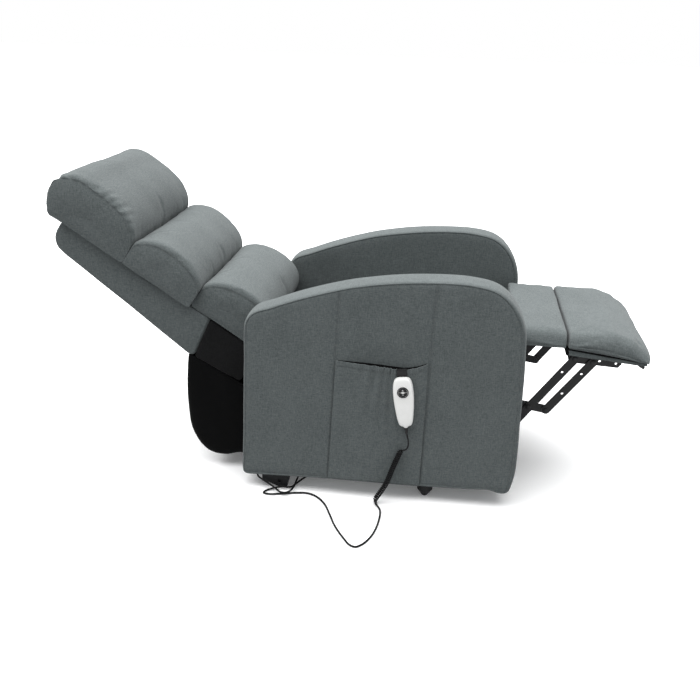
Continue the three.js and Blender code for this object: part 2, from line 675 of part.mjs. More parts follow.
const END_PAD_HALF = 256;
add("footrest_pad", stuffed(END_PAD, -END_PAD_HALF, END_PAD_HALF, 8), FABRIC());
const FRONT_PAD = [
  [-475, 451], [-336, 451], [-336, 482], [-342, 487], [-440, 487], [-468, 482], [-477, 468],
];
add("front_pad", stuffed(FRONT_PAD, -SEAT_HALF, SEAT_HALF, 6), FABRIC());

// ---------- lift motor ----------
// Drawn along +Z from its lower pivot, then leaned towards the bar that it pushes.
const MOTOR_REACH = [MOTOR_BAR[0] - MOTOR_PIVOT[0], MOTOR_BAR[1] - MOTOR_PIVOT[1]];
const MOTOR_LENGTH = Math.hypot(...MOTOR_REACH);
const MOTOR_LEAN = Math.atan2(-MOTOR_REACH[0], MOTOR_REACH[1]);
const motorPiece = (geometry) => geometry.rotateX(MOTOR_LEAN).translate(0, ...MOTOR_PIVOT);
const ROD = { r: 9, bore: 9.6, tube: 16, start: 30, eye: 16, eyeHole: 11.5 };
const TUBE_END = MOTOR_LENGTH - 24;
add(
  "motor_housing",
  motorPiece(
    cut(
      union(
        box(-23, 23, -20, 24, -20, 34),
        post(0, 0, 20, TUBE_END, ROD.tube, ROD.tube, 20),
        box(-19, 19, 8, 46, 20, 128),
      ),
      post(0, 0, ROD.start - 2, TUBE_END + 4, ROD.bore, ROD.bore, 20),
      box(-2, 2, 4, 50, 40, 41),
    ),
  ),
  BLACK_PLASTIC(),
);
add(
  "motor_rod",
  motorPiece(
    cut(
      union(
        post(0, 0, ROD.start, MOTOR_LENGTH - 10, ROD.r, ROD.r, 16),
        rod([0, MOTOR_LENGTH], ROD.eye, -10, 10, 20),
      ),
      rod([0, MOTOR_LENGTH], ROD.eyeHole, -12, 12, 20),
    ),
  ),
  GALVANISED(),
);

chair.position.copy(CENTRE);

export default chair;
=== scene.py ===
"""Lift recliner chair, fully reclined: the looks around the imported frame.

Points are written in the chair's own millimetres, and row() puts them into the frame's metres.
The chair faces -Y, its own right side is -X, and the floor is z = 0.
"""

import math

import bpy
import numpy as np
from mathutils import Matrix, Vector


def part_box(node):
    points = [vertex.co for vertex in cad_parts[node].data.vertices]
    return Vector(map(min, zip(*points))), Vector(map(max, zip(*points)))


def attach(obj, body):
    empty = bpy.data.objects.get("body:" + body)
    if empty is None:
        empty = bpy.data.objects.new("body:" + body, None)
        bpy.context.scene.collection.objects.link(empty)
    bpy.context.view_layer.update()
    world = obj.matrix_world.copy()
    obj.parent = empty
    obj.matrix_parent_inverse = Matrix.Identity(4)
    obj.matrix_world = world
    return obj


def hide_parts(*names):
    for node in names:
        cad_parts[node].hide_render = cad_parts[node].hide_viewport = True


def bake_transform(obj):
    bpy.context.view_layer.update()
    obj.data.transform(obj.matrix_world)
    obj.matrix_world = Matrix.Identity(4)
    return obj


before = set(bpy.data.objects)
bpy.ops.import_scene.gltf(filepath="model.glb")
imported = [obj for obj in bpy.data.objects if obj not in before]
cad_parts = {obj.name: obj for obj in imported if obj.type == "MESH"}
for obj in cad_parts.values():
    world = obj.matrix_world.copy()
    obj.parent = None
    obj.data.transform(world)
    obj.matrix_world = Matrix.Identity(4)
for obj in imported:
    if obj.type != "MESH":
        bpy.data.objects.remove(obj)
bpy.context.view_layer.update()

ARM_R_BOX, ARM_L_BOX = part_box("arm_R"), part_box("arm_L")
ARM_REAR = 0.400  # the arms' rear edge in the chair's own metres
SHIFT = np.array([(ARM_R_BOX[0].x + ARM_L_BOX[1].x) / 2, ARM_L_BOX[1].y - ARM_REAR, 0.0])
BACK_ANGLE = math.radians(32.3)
BACK_ORIGIN = np.array([777.0, 628.0])


# ---------- points and curves ----------
def row(points):
    return np.asarray(points, float) / 1000 + SHIFT


def millimetres(obj):
    """The object's points in the chair's millimetres."""
    return (coords(obj) - SHIFT) * 1000


def turned_2d(p, angle):
    """(n, 2) points turned about the origin."""
    c, s = math.cos(angle), math.sin(angle)
    return np.stack([p[:, 0] * c - p[:, 1] * s, p[:, 0] * s + p[:, 1] * c], axis=1)


def on_back(points):
    """(u, v) points of the back's plane as (y, z)."""
    return BACK_ORIGIN + turned_2d(np.asarray(points, float), BACK_ANGLE)


def on_plane(points):
    """(y, z) as (u, v) of the back's plane."""
    return turned_2d(points - BACK_ORIGIN, -BACK_ANGLE)


def smooth_step(x, lo, hi):
    t = np.clip((x - lo) / (hi - lo), 0, 1)
    return t * t * (3 - 2 * t)


def unit(vectors):
    """Each row of the array made one long."""
    return vectors / (np.linalg.norm(vectors, axis=-1, keepdims=True) + 1e-9)


def circle(sides):
    """Angles round a circle, as a column."""
    return np.linspace(0, 2 * math.pi, sides, endpoint=False)[:, None]


def spline(points, closed=False, steps=16):
    """Centripetal Catmull-Rom curve through the points."""
    p = np.asarray(points, float)
    if closed:
        ext = np.vstack([p[-1:], p, p[:2]])
    else:
        ext = np.vstack([2 * p[0] - p[1], p, 2 * p[-1] - p[-2]])
    out = []
    for i in range(len(ext) - 3):
        p0, p1, p2, p3 = ext[i : i + 4]
        t1 = max(np.linalg.norm(p1 - p0), 1e-9) ** 0.5
        t2 = t1 + max(np.linalg.norm(p2 - p1), 1e-9) ** 0.5
        t3 = t2 + max(np.linalg.norm(p3 - p2), 1e-9) ** 0.5
        t = np.linspace(t1, t2, steps, endpoint=False)[:, None]
        a1 = (t1 - t) / t1 * p0 + t / t1 * p1
        a2 = (t2 - t) / (t2 - t1) * p1 + (t - t1) / (t2 - t1) * p2
        a3 = (t3 - t) / (t3 - t2) * p2 + (t - t2) / (t3 - t2) * p3
        b1 = (t2 - t) / t2 * a1 + t / t2 * a2
        b2 = (t3 - t) / (t3 - t1) * a2 + (t - t1) / (t3 - t1) * a3
        out.append((t2 - t) / (t2 - t1) * b1 + (t - t1) / (t2 - t1) * b2)
    if not closed:
        out.append(p[-1:])
    return np.vstack(out)


def lengths(line):
    return np.concatenate([[0.0], np.cumsum(np.linalg.norm(np.diff(line, axis=0), axis=1))])


def at_length(line, where):
    """Points of a polyline at the given lengths along it."""
    run = lengths(line)
    return np.stack([np.interp(where, run, line[:, k]) for k in range(line.shape[1])], axis=1)


def spaced(line, count, closed=False):
    line = np.vstack([line, line[:1]]) if closed else np.asarray(line, float)
    total = lengths(line)[-1]
    return at_length(line, np.linspace(0, total, count, endpoint=not closed))


def rounded(corners, radius, closed=True):
    """A polyline whose corners are turned with the given radius of cut."""
    p = np.asarray(corners, float)
    out = []
    for i in range(len(p)):
        if not closed and i in (0, len(p) - 1):
            out.append(p[i : i + 1])
            continue
        before, after = p[i - 1] - p[i], p[(i + 1) % len(p)] - p[i]
        r = min(radius, 0.45 * np.linalg.norm(before), 0.45 * np.linalg.norm(after))
        a = p[i] + before / np.linalg.norm(before) * r
        b = p[i] + after / np.linalg.norm(after) * r
        t = np.linspace(0, 1, 7)[:, None]
        out.append((1 - t) ** 2 * a + 2 * t * (1 - t) * p[i] + t**2 * b)
    return np.vstack(out)


def normals_2d(loop):
    """Outward normals of a closed (y, z) loop."""
    d = np.roll(loop, -1, axis=0) - np.roll(loop, 1, axis=0)
    n = np.stack([d[:, 1], -d[:, 0]], axis=1)
    n /= np.linalg.norm(n, axis=1)[:, None] + 1e-9
    area = np.sum(loop[:, 0] * np.roll(loop[:, 1], -1) - np.roll(loop[:, 0], -1) * loop[:, 1])
    return n if area > 0 else -n


def ripple(points, wavelength, amount, seed):
    """A smooth seeded unevenness, in millimetres, at (n, 3) millimetre points."""
    rng = np.random.default_rng(seed)
    total = np.zeros(len(points))
    for _ in range(7):
        way = rng.normal(size=3)
        way /= np.linalg.norm(way)
        wave = wavelength * rng.uniform(0.6, 1.6)
        total += np.cos(points @ way * (2 * math.pi / wave) + rng.uniform(0, 2 * math.pi))
    return amount * total / 3


# ---------- meshes ----------
def link(obj):
    bpy.context.scene.collection.objects.link(obj)
    return obj


def vertex_values(data, key):
    out = np.zeros(len(data.vertices) * 3)
    data.vertices.foreach_get(key, out)
    return out.reshape(-1, 3)


def coords(obj):
    return vertex_values(obj.data, "co")


def set_coords(obj, co):
    obj.data.vertices.foreach_set("co", np.asarray(co, np.float32).ravel())
    obj.data.update()


def vertex_normals(obj):
    return vertex_values(obj.data, "normal")


def mesh(name, points, faces, material, smooth=True, closed=True):
    """A mesh object from millimetre points, turned to face out if it is closed."""
    co = row(points)
    if closed:
        volume = 0.0
        for f in faces:
            for k in range(1, len(f) - 1):
                volume += np.dot(co[f[0]], np.cross(co[f[k]], co[f[k + 1]]))
        if volume < 0:
            faces = [tuple(reversed(f)) for f in faces]
    data = bpy.data.meshes.new(name)
    data.from_pydata(co.tolist(), [], faces)
    data.polygons.foreach_set("use_smooth", [smooth] * len(data.polygons))
    data.materials.append(material)
    data.update()
    return link(bpy.data.objects.new(name, data))


def push(obj, amount):
    """Moves each vertex along its normal by so many millimetres."""
    set_coords(obj, coords(obj) + vertex_normals(obj) * (np.asarray(amount)[:, None] / 1000))


def subdivided(obj):
    mod = obj.modifiers.new("smooth", "SUBSURF")
    mod.levels = mod.render_levels = 1


def loft(rings):
    """Faces of rings of equal count, closed by a centre point at each end. rings is (m, n, 3)."""
    m, n = rings.shape[:2]
    points = np.vstack([rings.reshape(-1, 3), rings[0].mean(0), rings[-1].mean(0)])
    faces = []
    for k in range(m - 1):
        for i in range(n):
            j = (i + 1) % n
            faces.append((k * n + i, k * n + j, (k + 1) * n + j, (k + 1) * n + i))
    first, last = m * n, m * n + 1
    for i in range(n):
        j = (i + 1) % n
        faces.append((first, j, i))
        faces.append((last, (m - 1) * n + i, (m - 1) * n + j))
    return points, faces


def sheet_faces(columns, rows):
    """Faces of a closed sheet: an outer and then an inner layer of points, each columns by rows."""
    index = np.arange(columns * rows).reshape(columns, rows)
    behind = columns * rows
    faces = []
    for i in range(columns - 1):
        for j in range(rows - 1):
            quad = (index[i, j], index[i + 1, j], index[i + 1, j + 1], index[i, j + 1])
            faces.append(quad)
            faces.append(tuple(behind + k for k in reversed(quad)))
    rim = [*index[:, 0], *index[-1, 1:], *index[-2::-1, -1], *index[0, -2:0:-1]]
    for p, q in zip(rim, rim[1:] + rim[:1]):
        faces.append((q, p, behind + p, behind + q))
    return faces, index


def layered(loop, middle, steps):
    """A loft of one (across, up) outline: steps are (share of its size, height)."""
    rings = []
    for share, out in steps:
        rings.append(np.column_stack([np.full(len(loop), out), middle + (loop - middle) * share]))
    return loft(np.stack(rings))


def joined(parts):
    """One points array and face list from several."""
    points, faces, base = [], [], 0
    for p, f in parts:
        points.append(np.asarray(p, float))
        faces += [tuple(base + i for i in face) for face in f]
        base += len(p)
    return np.vstack(points), faces


def turned(profile, centre, axis, sides=20):
    """A lathed solid: profile is (distance along the axis, radius) from one end to the other."""
    axis = unit(np.asarray(axis, float))
    side = unit(np.cross(axis, [0, 0, 1.0] if abs(axis[2]) < 0.9 else [1.0, 0, 0]))
    a = circle(sides)
    ring = np.cos(a) * side + np.sin(a) * np.cross(axis, side)
    return loft(np.stack([np.asarray(centre, float) + axis * d + ring * r for d, r in profile]))


DOME = ((0.35, 0.5), (0.2, 0.85))  # (height, radius) of a cord's end, as shares of its radius


def tube_mesh(path, radius, sides=8):
    """A round tube along (n, 3) points, with domed ends."""
    p = np.asarray(path, float)
    tangent = unit(np.gradient(p, axis=0))
    side = np.cross(tangent[0], [0.3, 0.9, 0.31])
    rings, spokes = [], []
    a = circle(sides)
    for centre, way in zip(p, tangent):
        side = unit(side - way * np.dot(side, way))
        spoke = radius * (np.cos(a) * side + np.sin(a) * np.cross(way, side))
        spokes.append(spoke)
        rings.append(centre + spoke)
    first = [p[0] - tangent[0] * radius * h + spokes[0] * r for h, r in DOME]
    last = [p[-1] + tangent[-1] * radius * h + spokes[-1] * r for h, r in DOME]
    return loft(np.stack([*first, *rings, *last[::-1]]))


# ---------- materials ----------
def material(name):
    mat = bpy.data.materials.new(name)
    mat.use_nodes = True
    tree = mat.node_tree
    return mat, tree, tree.nodes["Principled BSDF"]


def set_inputs(made, **values):
    """Sets sockets by name, with _ for each space."""
    for key, value in values.items():
        made.inputs[key.replace("_", " ")].default_value = value


def noise_at(tree, coord, scale, detail=2.0, stretch=(1, 1, 1), roughness=0.5):
    mapping = tree.nodes.new("ShaderNodeMapping")
    set_inputs(mapping, Scale=stretch)
    tree.links.new(coord, mapping.inputs["Vector"])
    noise = tree.nodes.new("ShaderNodeTexNoise")
    set_inputs(noise, Scale=scale, Detail=detail, Roughness=roughness)
    tree.links.new(mapping.outputs[0], noise.inputs["Vector"])
    return noise.outputs[0]


def math_node(tree, kind, a, b=None):
    made = tree.nodes.new("ShaderNodeMath")
    made.operation = kind
    for socket, value in ((0, a), (1, b)):
        if value is None:
            continue
        if isinstance(value, (int, float)):
            made.inputs[socket].default_value = value
        else:
            tree.links.new(value, made.inputs[socket])
    return made.outputs[0]


def total_of(tree, *values):
    """The sum of several values."""
    out = values[0]
    for value in values[1:]:
        out = math_node(tree, "ADD", out, value)
    return out


def times(tree, a, b):
    return math_node(tree, "MULTIPLY", a, b)


def ramp(tree, value, stops):
    made = tree.nodes.new("ShaderNodeValToRGB")
    for i, (where, colour) in enumerate(stops):
        el = made.color_ramp.elements[i] if i < 2 else made.color_ramp.elements.new(where)
        el.position = where
        el.color = (*colour, 1)
    tree.links.new(value, made.inputs[0])
    return made.outputs[0]


def bump(tree, shader, height, strength, distance):
    made = tree.nodes.new("ShaderNodeBump")
    set_inputs(made, Strength=strength, Distance=distance)
    tree.links.new(height, made.inputs["Height"])
    tree.links.new(made.outputs[0], shader.inputs["Normal"])


YARN_STRETCH = ((70, 620, 620), (620, 70, 620), (620, 620, 70))


def woven(name, dark, light, pitch=0.0015, relief=0.0005, sheen=0.3):
    """Plain linen weave with slubs of lighter and darker yarn, running with the three axes."""
    mat, tree, shader = material(name)
    coord = tree.nodes.new("ShaderNodeTexCoord").outputs["Object"]
    yarn = total_of(tree, *[noise_at(tree, coord, 1.0, 2.0, stretch) for stretch in YARN_STRETCH])
    heather = noise_at(tree, coord, 210.0, 3.0, roughness=0.65)
    cloud = noise_at(tree, coord, 9.0, 3.0)
    mix = total_of(tree, times(tree, yarn, 0.42), times(tree, heather, 0.38), times(tree, cloud, 0.14), -0.39)
    tree.links.new(ramp(tree, mix, [(0.34, dark), (0.66, light)]), shader.inputs["Base Color"])
    split = tree.nodes.new("ShaderNodeSeparateXYZ")
    tree.links.new(coord, split.inputs[0])
    waves = [math_node(tree, "SINE", times(tree, split.outputs[k], math.pi / pitch)) for k in range(3)]
    over = total_of(tree, *[times(tree, waves[k], waves[(k + 1) % 3]) for k in range(3)])
    bump(tree, shader, total_of(tree, times(tree, over, 0.25), yarn), 0.55, relief)
    set_inputs(shader, Roughness=0.92, Specular_IOR_Level=0.12, Sheen_Weight=sheen, Sheen_Roughness=0.55)
    return mat


def speckled(
    name, low, high, scale, rough,
    metallic=0.0, relief=0.0002, stretch=(1, 1, 1), coat=0.0, spec=0.5, sheen=0.0,
):
    """A finish whose colour, gloss and relief vary finely: paint, moulded plastic, zinc, wood."""
    mat, tree, shader = material(name)
    coord = tree.nodes.new("ShaderNodeTexCoord").outputs["Object"]
    fine = noise_at(tree, coord, scale, 4.0, stretch, 0.6)
    broad = noise_at(tree, coord, scale / 12, 3.0, stretch)
    mix = total_of(tree, times(tree, fine, 0.5), times(tree, broad, 0.5))
    tree.links.new(ramp(tree, mix, [(0.36, low), (0.64, high)]), shader.inputs["Base Color"])
    gloss = ramp(tree, broad, [(0.3, (rough[0],) * 3), (0.7, (rough[1],) * 3)])
    tree.links.new(gloss, shader.inputs["Roughness"])
    bump(tree, shader, fine, 0.4, relief)
    set_inputs(shader, Metallic=metallic, Coat_Weight=coat, Specular_IOR_Level=spec, Sheen_Weight=sheen)
    return mat


FABRIC = woven("fabric_grey", (0.072, 0.0835, 0.084), (0.132, 0.148, 0.148), sheen=0.12)
THREAD = speckled("thread_grey", (0.055, 0.066, 0.067), (0.10, 0.112, 0.112), 900.0, (0.7, 0.9))
PANEL_CLOTH = woven(
    "cloth_black_woven", (0.003, 0.0031, 0.0032), (0.009, 0.009, 0.0095), 0.0011, 0.0003, 0.02
)
DUST_CLOTH = speckled(
    "cloth_black_felt", (0.0008, 0.0008, 0.0009), (0.0022, 0.0023, 0.0024), 700.0, (0.85, 0.98),
    relief=0.0004, spec=0.06, sheen=0.05,
)
PAINT = speckled(
    "paint_black", (0.004, 0.0043, 0.0047), (0.010, 0.0105, 0.0112), 900.0, (0.4, 0.55),
    relief=0.00012, coat=0.02, spec=0.17,
)
ZINC = speckled("zinc_bright", (0.42, 0.44, 0.46), (0.62, 0.64, 0.65), 260.0, (0.25, 0.45), 0.95, 0.00008)
WOOD = speckled(
    "wood_pine", (0.30, 0.19, 0.10), (0.50, 0.36, 0.21), 60.0, (0.6, 0.8), relief=0.0003, stretch=(6, 0.5, 6)
)
WHITE = speckled(
    "plastic_white", (0.80, 0.80, 0.78), (0.86, 0.86, 0.84), 500.0, (0.30, 0.40), relief=0.00003, coat=0.1
)
BLACK = speckled(
    "plastic_black", (0.003, 0.0031, 0.0033), (0.007, 0.0074, 0.0078), 800.0, (0.4, 0.55),
    relief=0.00008, spec=0.2,
)
CORD = speckled(
    "cord_black", (0.002, 0.002, 0.0022), (0.005, 0.0052, 0.0055), 900.0, (0.42, 0.6),
    relief=0.00008, spec=0.14,
)
LEGEND = speckled("legend_pale", (0.62, 0.63, 0.63), (0.74, 0.75, 0.75), 500.0, (0.4, 0.5))


def settle(obj, body, slot, *replaced):
    """Rides a finished piece on its body and hides the CAD nodes that it stands for; slot is not used."""
    if body:
        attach(obj, body)
    if replaced:
        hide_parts(*replaced)
    return obj


# ---------- camera ----------
CAMERA_PLACE = np.array([-2.58224, -0.28155, 1.28516])
CAMERA_YAW, CAMERA_PITCH, CAMERA_ROLL = 0.111513, 0.355976, 0.031839
CAMERA_LENS = 46.107
forward = np.array([
    math.cos(CAMERA_YAW) * math.cos(CAMERA_PITCH),
    math.sin(CAMERA_YAW) * math.cos(CAMERA_PITCH),
    -math.sin(CAMERA_PITCH),
])
level = np.array([math.sin(CAMERA_YAW), -math.cos(CAMERA_YAW), 0.0])
upright = np.cross(level, forward)
right = level * math.cos(CAMERA_ROLL) + upright * math.sin(CAMERA_ROLL)
up = upright * math.cos(CAMERA_ROLL) - level * math.sin(CAMERA_ROLL)
camera_data = bpy.data.cameras.new("camera")
camera_data.sensor_width = 36.0
camera_data.lens = CAMERA_LENS
camera = link(bpy.data.objects.new("camera", camera_data))
pose = np.eye(4)
pose[:3, 0], pose[:3, 1], pose[:3, 2], pose[:3, 3] = right, up, -forward, CAMERA_PLACE
camera.matrix_world = Matrix(pose.tolist())
bpy.context.scene.camera = camera

# ---------- cords ----------
HANDSET_Y, HANDSET_Z, HANDSET_TILT = -48.0, 311.5, math.radians(-7)
HANDSET_BACK, HANDSET_THICK = 357.5, 22.0
HANDSET_MID_X = -(HANDSET_BACK + HANDSET_THICK / 2)


def on_handset(points):
    """Handset points (x, y, z) drawn upright about its middle, tilted into place."""
    p = np.asarray(points, float)
    return np.column_stack([p[:, 0], turned_2d(p[:, 1:], HANDSET_TILT) + [HANDSET_Y, HANDSET_Z]])


def blend_along(obj, path):
    """Bakes the tube's placement into its points."""
    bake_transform(obj)
    co, line = coords(obj), row(path)


CURL_WIRE = 4.2
CURL_R = 8.0 - CURL_WIRE / 2
CURL_TURNS, CURL_PER_TURN = 30, 16
LEAD = [
    [-368.5, -58.9, 221.5], [-368, -64.5, 201], [-368, -66, 183], [-367, -61.5, 170], [-366.5, -52.5, 165]
]
CURL_AXIS = [[-366, -47, 166], [-370, -29, 118], [-375, -10, 62], [-382, 19, 10.5]]
CURL_OPENS = 0.75  # turns over which the curl reaches its full radius at each end
axis_line = spaced(spline(CURL_AXIS), CURL_TURNS * CURL_PER_TURN + 1)
tangent = unit(np.gradient(axis_line, axis=0))
side = unit(np.cross(tangent, [1.0, 0, 0]))
turns = np.linspace(0, CURL_TURNS, len(axis_line))[:, None]
angle = 2 * math.pi * turns
grow = np.clip(np.minimum(turns, CURL_TURNS - turns) / CURL_OPENS, 0.12, 1)
helix = axis_line + CURL_R * grow * (np.cos(angle) * side + np.sin(angle) * np.cross(tangent, side))
lead_line = spaced(spline([*LEAD, helix[0]]), 15)
curl_path = np.vstack([lead_line, helix[1:]])
handset_cord = mesh("handset_cord", *tube_mesh(curl_path, CURL_WIRE / 2), CORD)
blend_along(handset_cord, curl_path)
settle(handset_cord, None, "cord", "handset_lead", "handset_coil")

SLEEVE_FROM, SLEEVE_TO = np.array([-381.5, 17.5, 10.8]), np.array([-396, 13.5, 5.8])
sleeve_way = SLEEVE_TO - SLEEVE_FROM
SLEEVE_LONG = float(np.linalg.norm(sleeve_way))
SLEEVE_PROFILE = [
    (-2, 2.2), (-1.5, 3.6), (1, 4.6), (6, 4.7), (10, 4.1), (SLEEVE_LONG, 3.1), (SLEEVE_LONG + 1, 2.7)
]
cord_sleeve = mesh("cord_sleeve", *turned(SLEEVE_PROFILE, SLEEVE_FROM, sleeve_way, 16), BLACK)
settle(cord_sleeve, "base", "cord")

LEAD_D = 5.4
FLOOR_Z = LEAD_D / 2 + 0.3
FLOOR_ROUTE = [
    [-390.5, 17, 8], [-398, 11, 4.5],
    *[[x, y, FLOOR_Z] for x, y in (
        (-421, 0), (-489, -1), (-555, 10), (-599, 29), (-615, 46), (-609, 61), (-579, 82), (-522, 113),
        (-466, 135), (-414, 157), (-378, 185), (-363, 213), (-367, 250), (-379, 290), (-386, 320),
        (-381, 338), (-369, 334),
    )],
    [-353, 310, 6], [-347, 288, 8], [-345, 274, 7], [-336, 264, 5],
    *[[x, y, FLOOR_Z] for x, y in ((-314, 256), (-286, 244), (-235, 222), (-185, 222))],
    [-150, 236, 12], [-135, 258, 60], [-132, 264, 140], [-132, 264, 200], [-132, 264, 232],
]
REAR_ROUTE = [
    [-165, 275, 232], [-165, 275, 205], [-167, 300, 140], [-180, 330, 75], [-205, 348, 48], [-240, 358, 40],
    [-290, 365, 34], [-333, 365, 31], [-349, 347, 27], [-353, 328, 18], [-368, 305, 12], [-380, 291, 10],
    [-383, 276, 10], [-372, 264, 10], [-344, 257, 10], [-300, 256, 9], [-235, 250, 8.8], [-205, 226, 9.5],
    [-165, 165, 12], [-90, 80, 20], [-45, 20, 30], [-15, -12, 40], [0, -22, 48],
]


LEAD_POINTS = 260


def lead(name, route, replaced):
    """A thin lead along the route, which hides the CAD lead that it replaces."""
    path = spaced(spline(route), LEAD_POINTS)
    obj = mesh(name, *tube_mesh(path, LEAD_D / 2), CORD)
    blend_along(obj, path)
    settle(obj, None, "cord", replaced)


lead("floor_cord", FLOOR_ROUTE, "floor_lead")
lead("rear_cord", REAR_ROUTE, "rear_lead")


# ---------- upholstery by cloth simulation ----------
SIM_FRAMES = 20


def inflated(obj, pins, pressure, cap, slack):
    """Blows the mesh up as cloth held at its pins, with each point moving at most cap millimetres."""
    group = obj.vertex_groups.new(name="pins")
    group.add(np.nonzero(pins)[0].tolist(), 1.0, "REPLACE")
    rest = coords(obj)
    mod = obj.modifiers.new("puff", "CLOTH")
    cloth = mod.settings
    cloth.vertex_group_mass = "pins"
    cloth.quality = 5
    cloth.use_pressure = True
    cloth.uniform_pressure_force = pressure
    cloth.shrink_min = -slack
    cloth.bending_stiffness = 0.4
    cloth.effector_weights.gravity = 0.0
    mod.collision_settings.use_collision = False
    mod.point_cache.frame_start, mod.point_cache.frame_end = 1, SIM_FRAMES
    scene = bpy.context.scene
    scene.frame_start, scene.frame_end = 1, SIM_FRAMES
    for f in range(1, SIM_FRAMES + 1):
        scene.frame_set(f)
    evaluated = obj.evaluated_get(bpy.context.evaluated_depsgraph_get())
    moved = vertex_values(evaluated.data, "co") - rest
    size = np.linalg.norm(moved, axis=1)
    limit = cap / 1000
    moved *= (limit * np.tanh(size / limit) / np.maximum(size, 1e-9))[:, None]
    obj.modifiers.remove(mod)
    obj.vertex_groups.remove(group)
    scene.frame_set(1)
    set_coords(obj, rest + moved)


def smoothed(ring, passes):
    """A closed ring of values evened with its neighbours, so many times."""
    for _ in range(passes):
        ring = (np.roll(ring, 1, axis=0) + ring + np.roll(ring, -1, axis=0)) / 3
    return ring


PANEL_SHARES = (0.05, 0.16, 0.29, 0.42, 0.55, 0.67, 0.78, 0.87, 0.935, 0.972)


class Form:
    """A stuffed form: rings of one side outline across the chair, with a sewn end panel at each side."""

    def __init__(
        self, name, outline, half, mat, turn,
        step=8.0, shrink=0.0, plump=3.0, flat=None, seam_at=78.0, edge=None,
    ):
        """turn is the radius of the side's edge, plump the end panel's crown, edge the end seam's place."""
        line = np.asarray(outline, float)
        self.total = total = lengths(np.vstack([line, line[:1]]))[-1]
        self.count = n = int(round(total / step))
        self.loop = spaced(line, n, closed=True)
        self.held = held = np.zeros(n, bool) if flat is None else flat(self.loop)
        inset = smoothed(np.where(held, 0.0, shrink), 6)
        loop = self.loop - normals_2d(self.loop) * inset[:, None]
        away = loop.mean(0) - loop if edge is None else edge(loop) - loop
        reach = np.linalg.norm(away, axis=1)[:, None] + 1e-6
        across = half - shrink
        straight = across - turn
        seam_angle = math.radians(seam_at)
        seam_x = straight + turn * math.sin(seam_angle)
        seam_draw = turn * (1 - math.cos(seam_angle))
        depth = float(reach.mean())
        stations = []  # (x, draw in, share of the seam ring, distance from the seam)
        for share in PANEL_SHARES:
            stations.append((seam_x + plump * (1 - share**4), seam_draw, share, -(1 - share) * depth))
        self.seam_row = len(stations)
        arc = turn * seam_angle
        for d in (0.0, 2.2, 5.0, *np.arange(9.0, arc - 2, 5.0)):
            a = seam_angle - d / turn
            stations.append((straight + turn * math.sin(a), turn * (1 - math.cos(a)), 1.0, d))
        count = max(2, int(round(2 * straight / step)))
        for k in range(count // 2 + 1):
            stations.append((straight - 2 * straight * k / count, 0.0, 1.0, arc + k * step))
        mirrored = [(-x, draw, share, d) for x, draw, share, d in stations if x > 1e-6]
        stations += mirrored[::-1]
        rings = []
        for x, draw, share, _ in stations:
            if edge is None:
                ring = loop + away / reach * np.minimum(draw, 0.8 * reach)
            else:
                ring = loop + away * (draw / seam_draw)
            centre = ring.mean(0)
            ring = smoothed(centre + (ring - centre) * share, int(70 * (1 - share)))
            rings.append(np.column_stack([np.full(n, x), ring]))
        self.rings = len(rings)
        self.rest, faces = loft(np.stack(rings))
        self.obj = mesh(name, self.rest, faces, mat)
        # Of each point: length round the outline, distance from its seam, place across, ring, and
        # whether it is held. The centres of the two end panels come last.
        self.s = np.concatenate([np.tile(np.arange(n) * total / n, self.rings), [0, 0]])
        self.d = np.concatenate([np.repeat([station[3] for station in stations], n), [-depth, -depth]])
        self.x = np.concatenate([np.repeat([station[0] for station in stations], n), [across, -across]])
        self.ring_of = np.concatenate([np.repeat(np.arange(self.rings), n), [-1, -2]])
        self.held_all = np.concatenate([np.tile(held, self.rings), [False, False]])

    def seam_rings(self):
        return (self.seam_row, self.rings - 1 - self.seam_row)

    def puff(self, pressure, cap, slack):
        """Inflates the form between its seams and what it lies on."""
        inflated(self.obj, self.held_all | np.isin(self.ring_of, self.seam_rings()), pressure, cap, slack)
        self.calm()

    def calm(self):
        """Evens the swelling of the end panels round each ring, so that they lie without buckles."""
        moved = millimetres(self.obj) - self.rest
        grid = moved[: self.rings * self.count].reshape(self.rings, self.count, 3)
        for r in (*range(self.seam_row), *range(self.rings - self.seam_row, self.rings)):
            grid[r] = smoothed(grid[r], 14)
        set_coords(self.obj, row(self.rest + moved))

    def groove(self, depth, width):
        """Sinks the seams between the end panels and the rest."""
        push(self.obj, -depth * np.exp(-((self.d / width) ** 2)))

    def pucker(self, spots):
        """Short folds that run from the end seam: (y, z) near them, side, length, width, depth, lean."""
        amount = np.zeros(len(self.s))
        for (y, z), side, long, wide, deep, lean in spots:
            i = int(np.argmin(((self.loop - [y, z]) ** 2).sum(1)))
            ds = self.s - i * self.total / self.count
            ds = (ds + self.total / 2) % self.total - self.total / 2 - lean * self.d
            along = np.clip(self.d / long, 0, 1)
            fade = np.where(self.d > 0, np.sin(math.pi * np.clip(0.12 + 0.88 * along, 0, 1)) ** 0.8, 0)
            here = np.sign(self.x) == side
            fold = np.exp(-((ds / wide) ** 2)) - 0.45 * np.exp(-(((np.abs(ds) - 1.9 * wide) / wide) ** 2))
            amount -= deep * fold * fade * here
        push(self.obj, amount)

    def random_puckers(self, seed, spacing, deep, ok=None):
        rng = np.random.default_rng(seed)
        spots = []
        for side in (-1, 1):
            s = rng.uniform(0, spacing)
            while s < self.total:
                i = int(s / self.total * self.count) % self.count
                if not self.held[i] and (ok is None or ok(self.loop[i])):
                    long, wide, share = rng.uniform(18, 48), rng.uniform(5.0, 7.5), rng.uniform(0.4, 1.3)
                    spots.append((self.loop[i], side, long, wide, deep * share, rng.uniform(-0.25, 0.25)))
                s += spacing * rng.uniform(0.45, 1.5)
        self.pucker(spots)

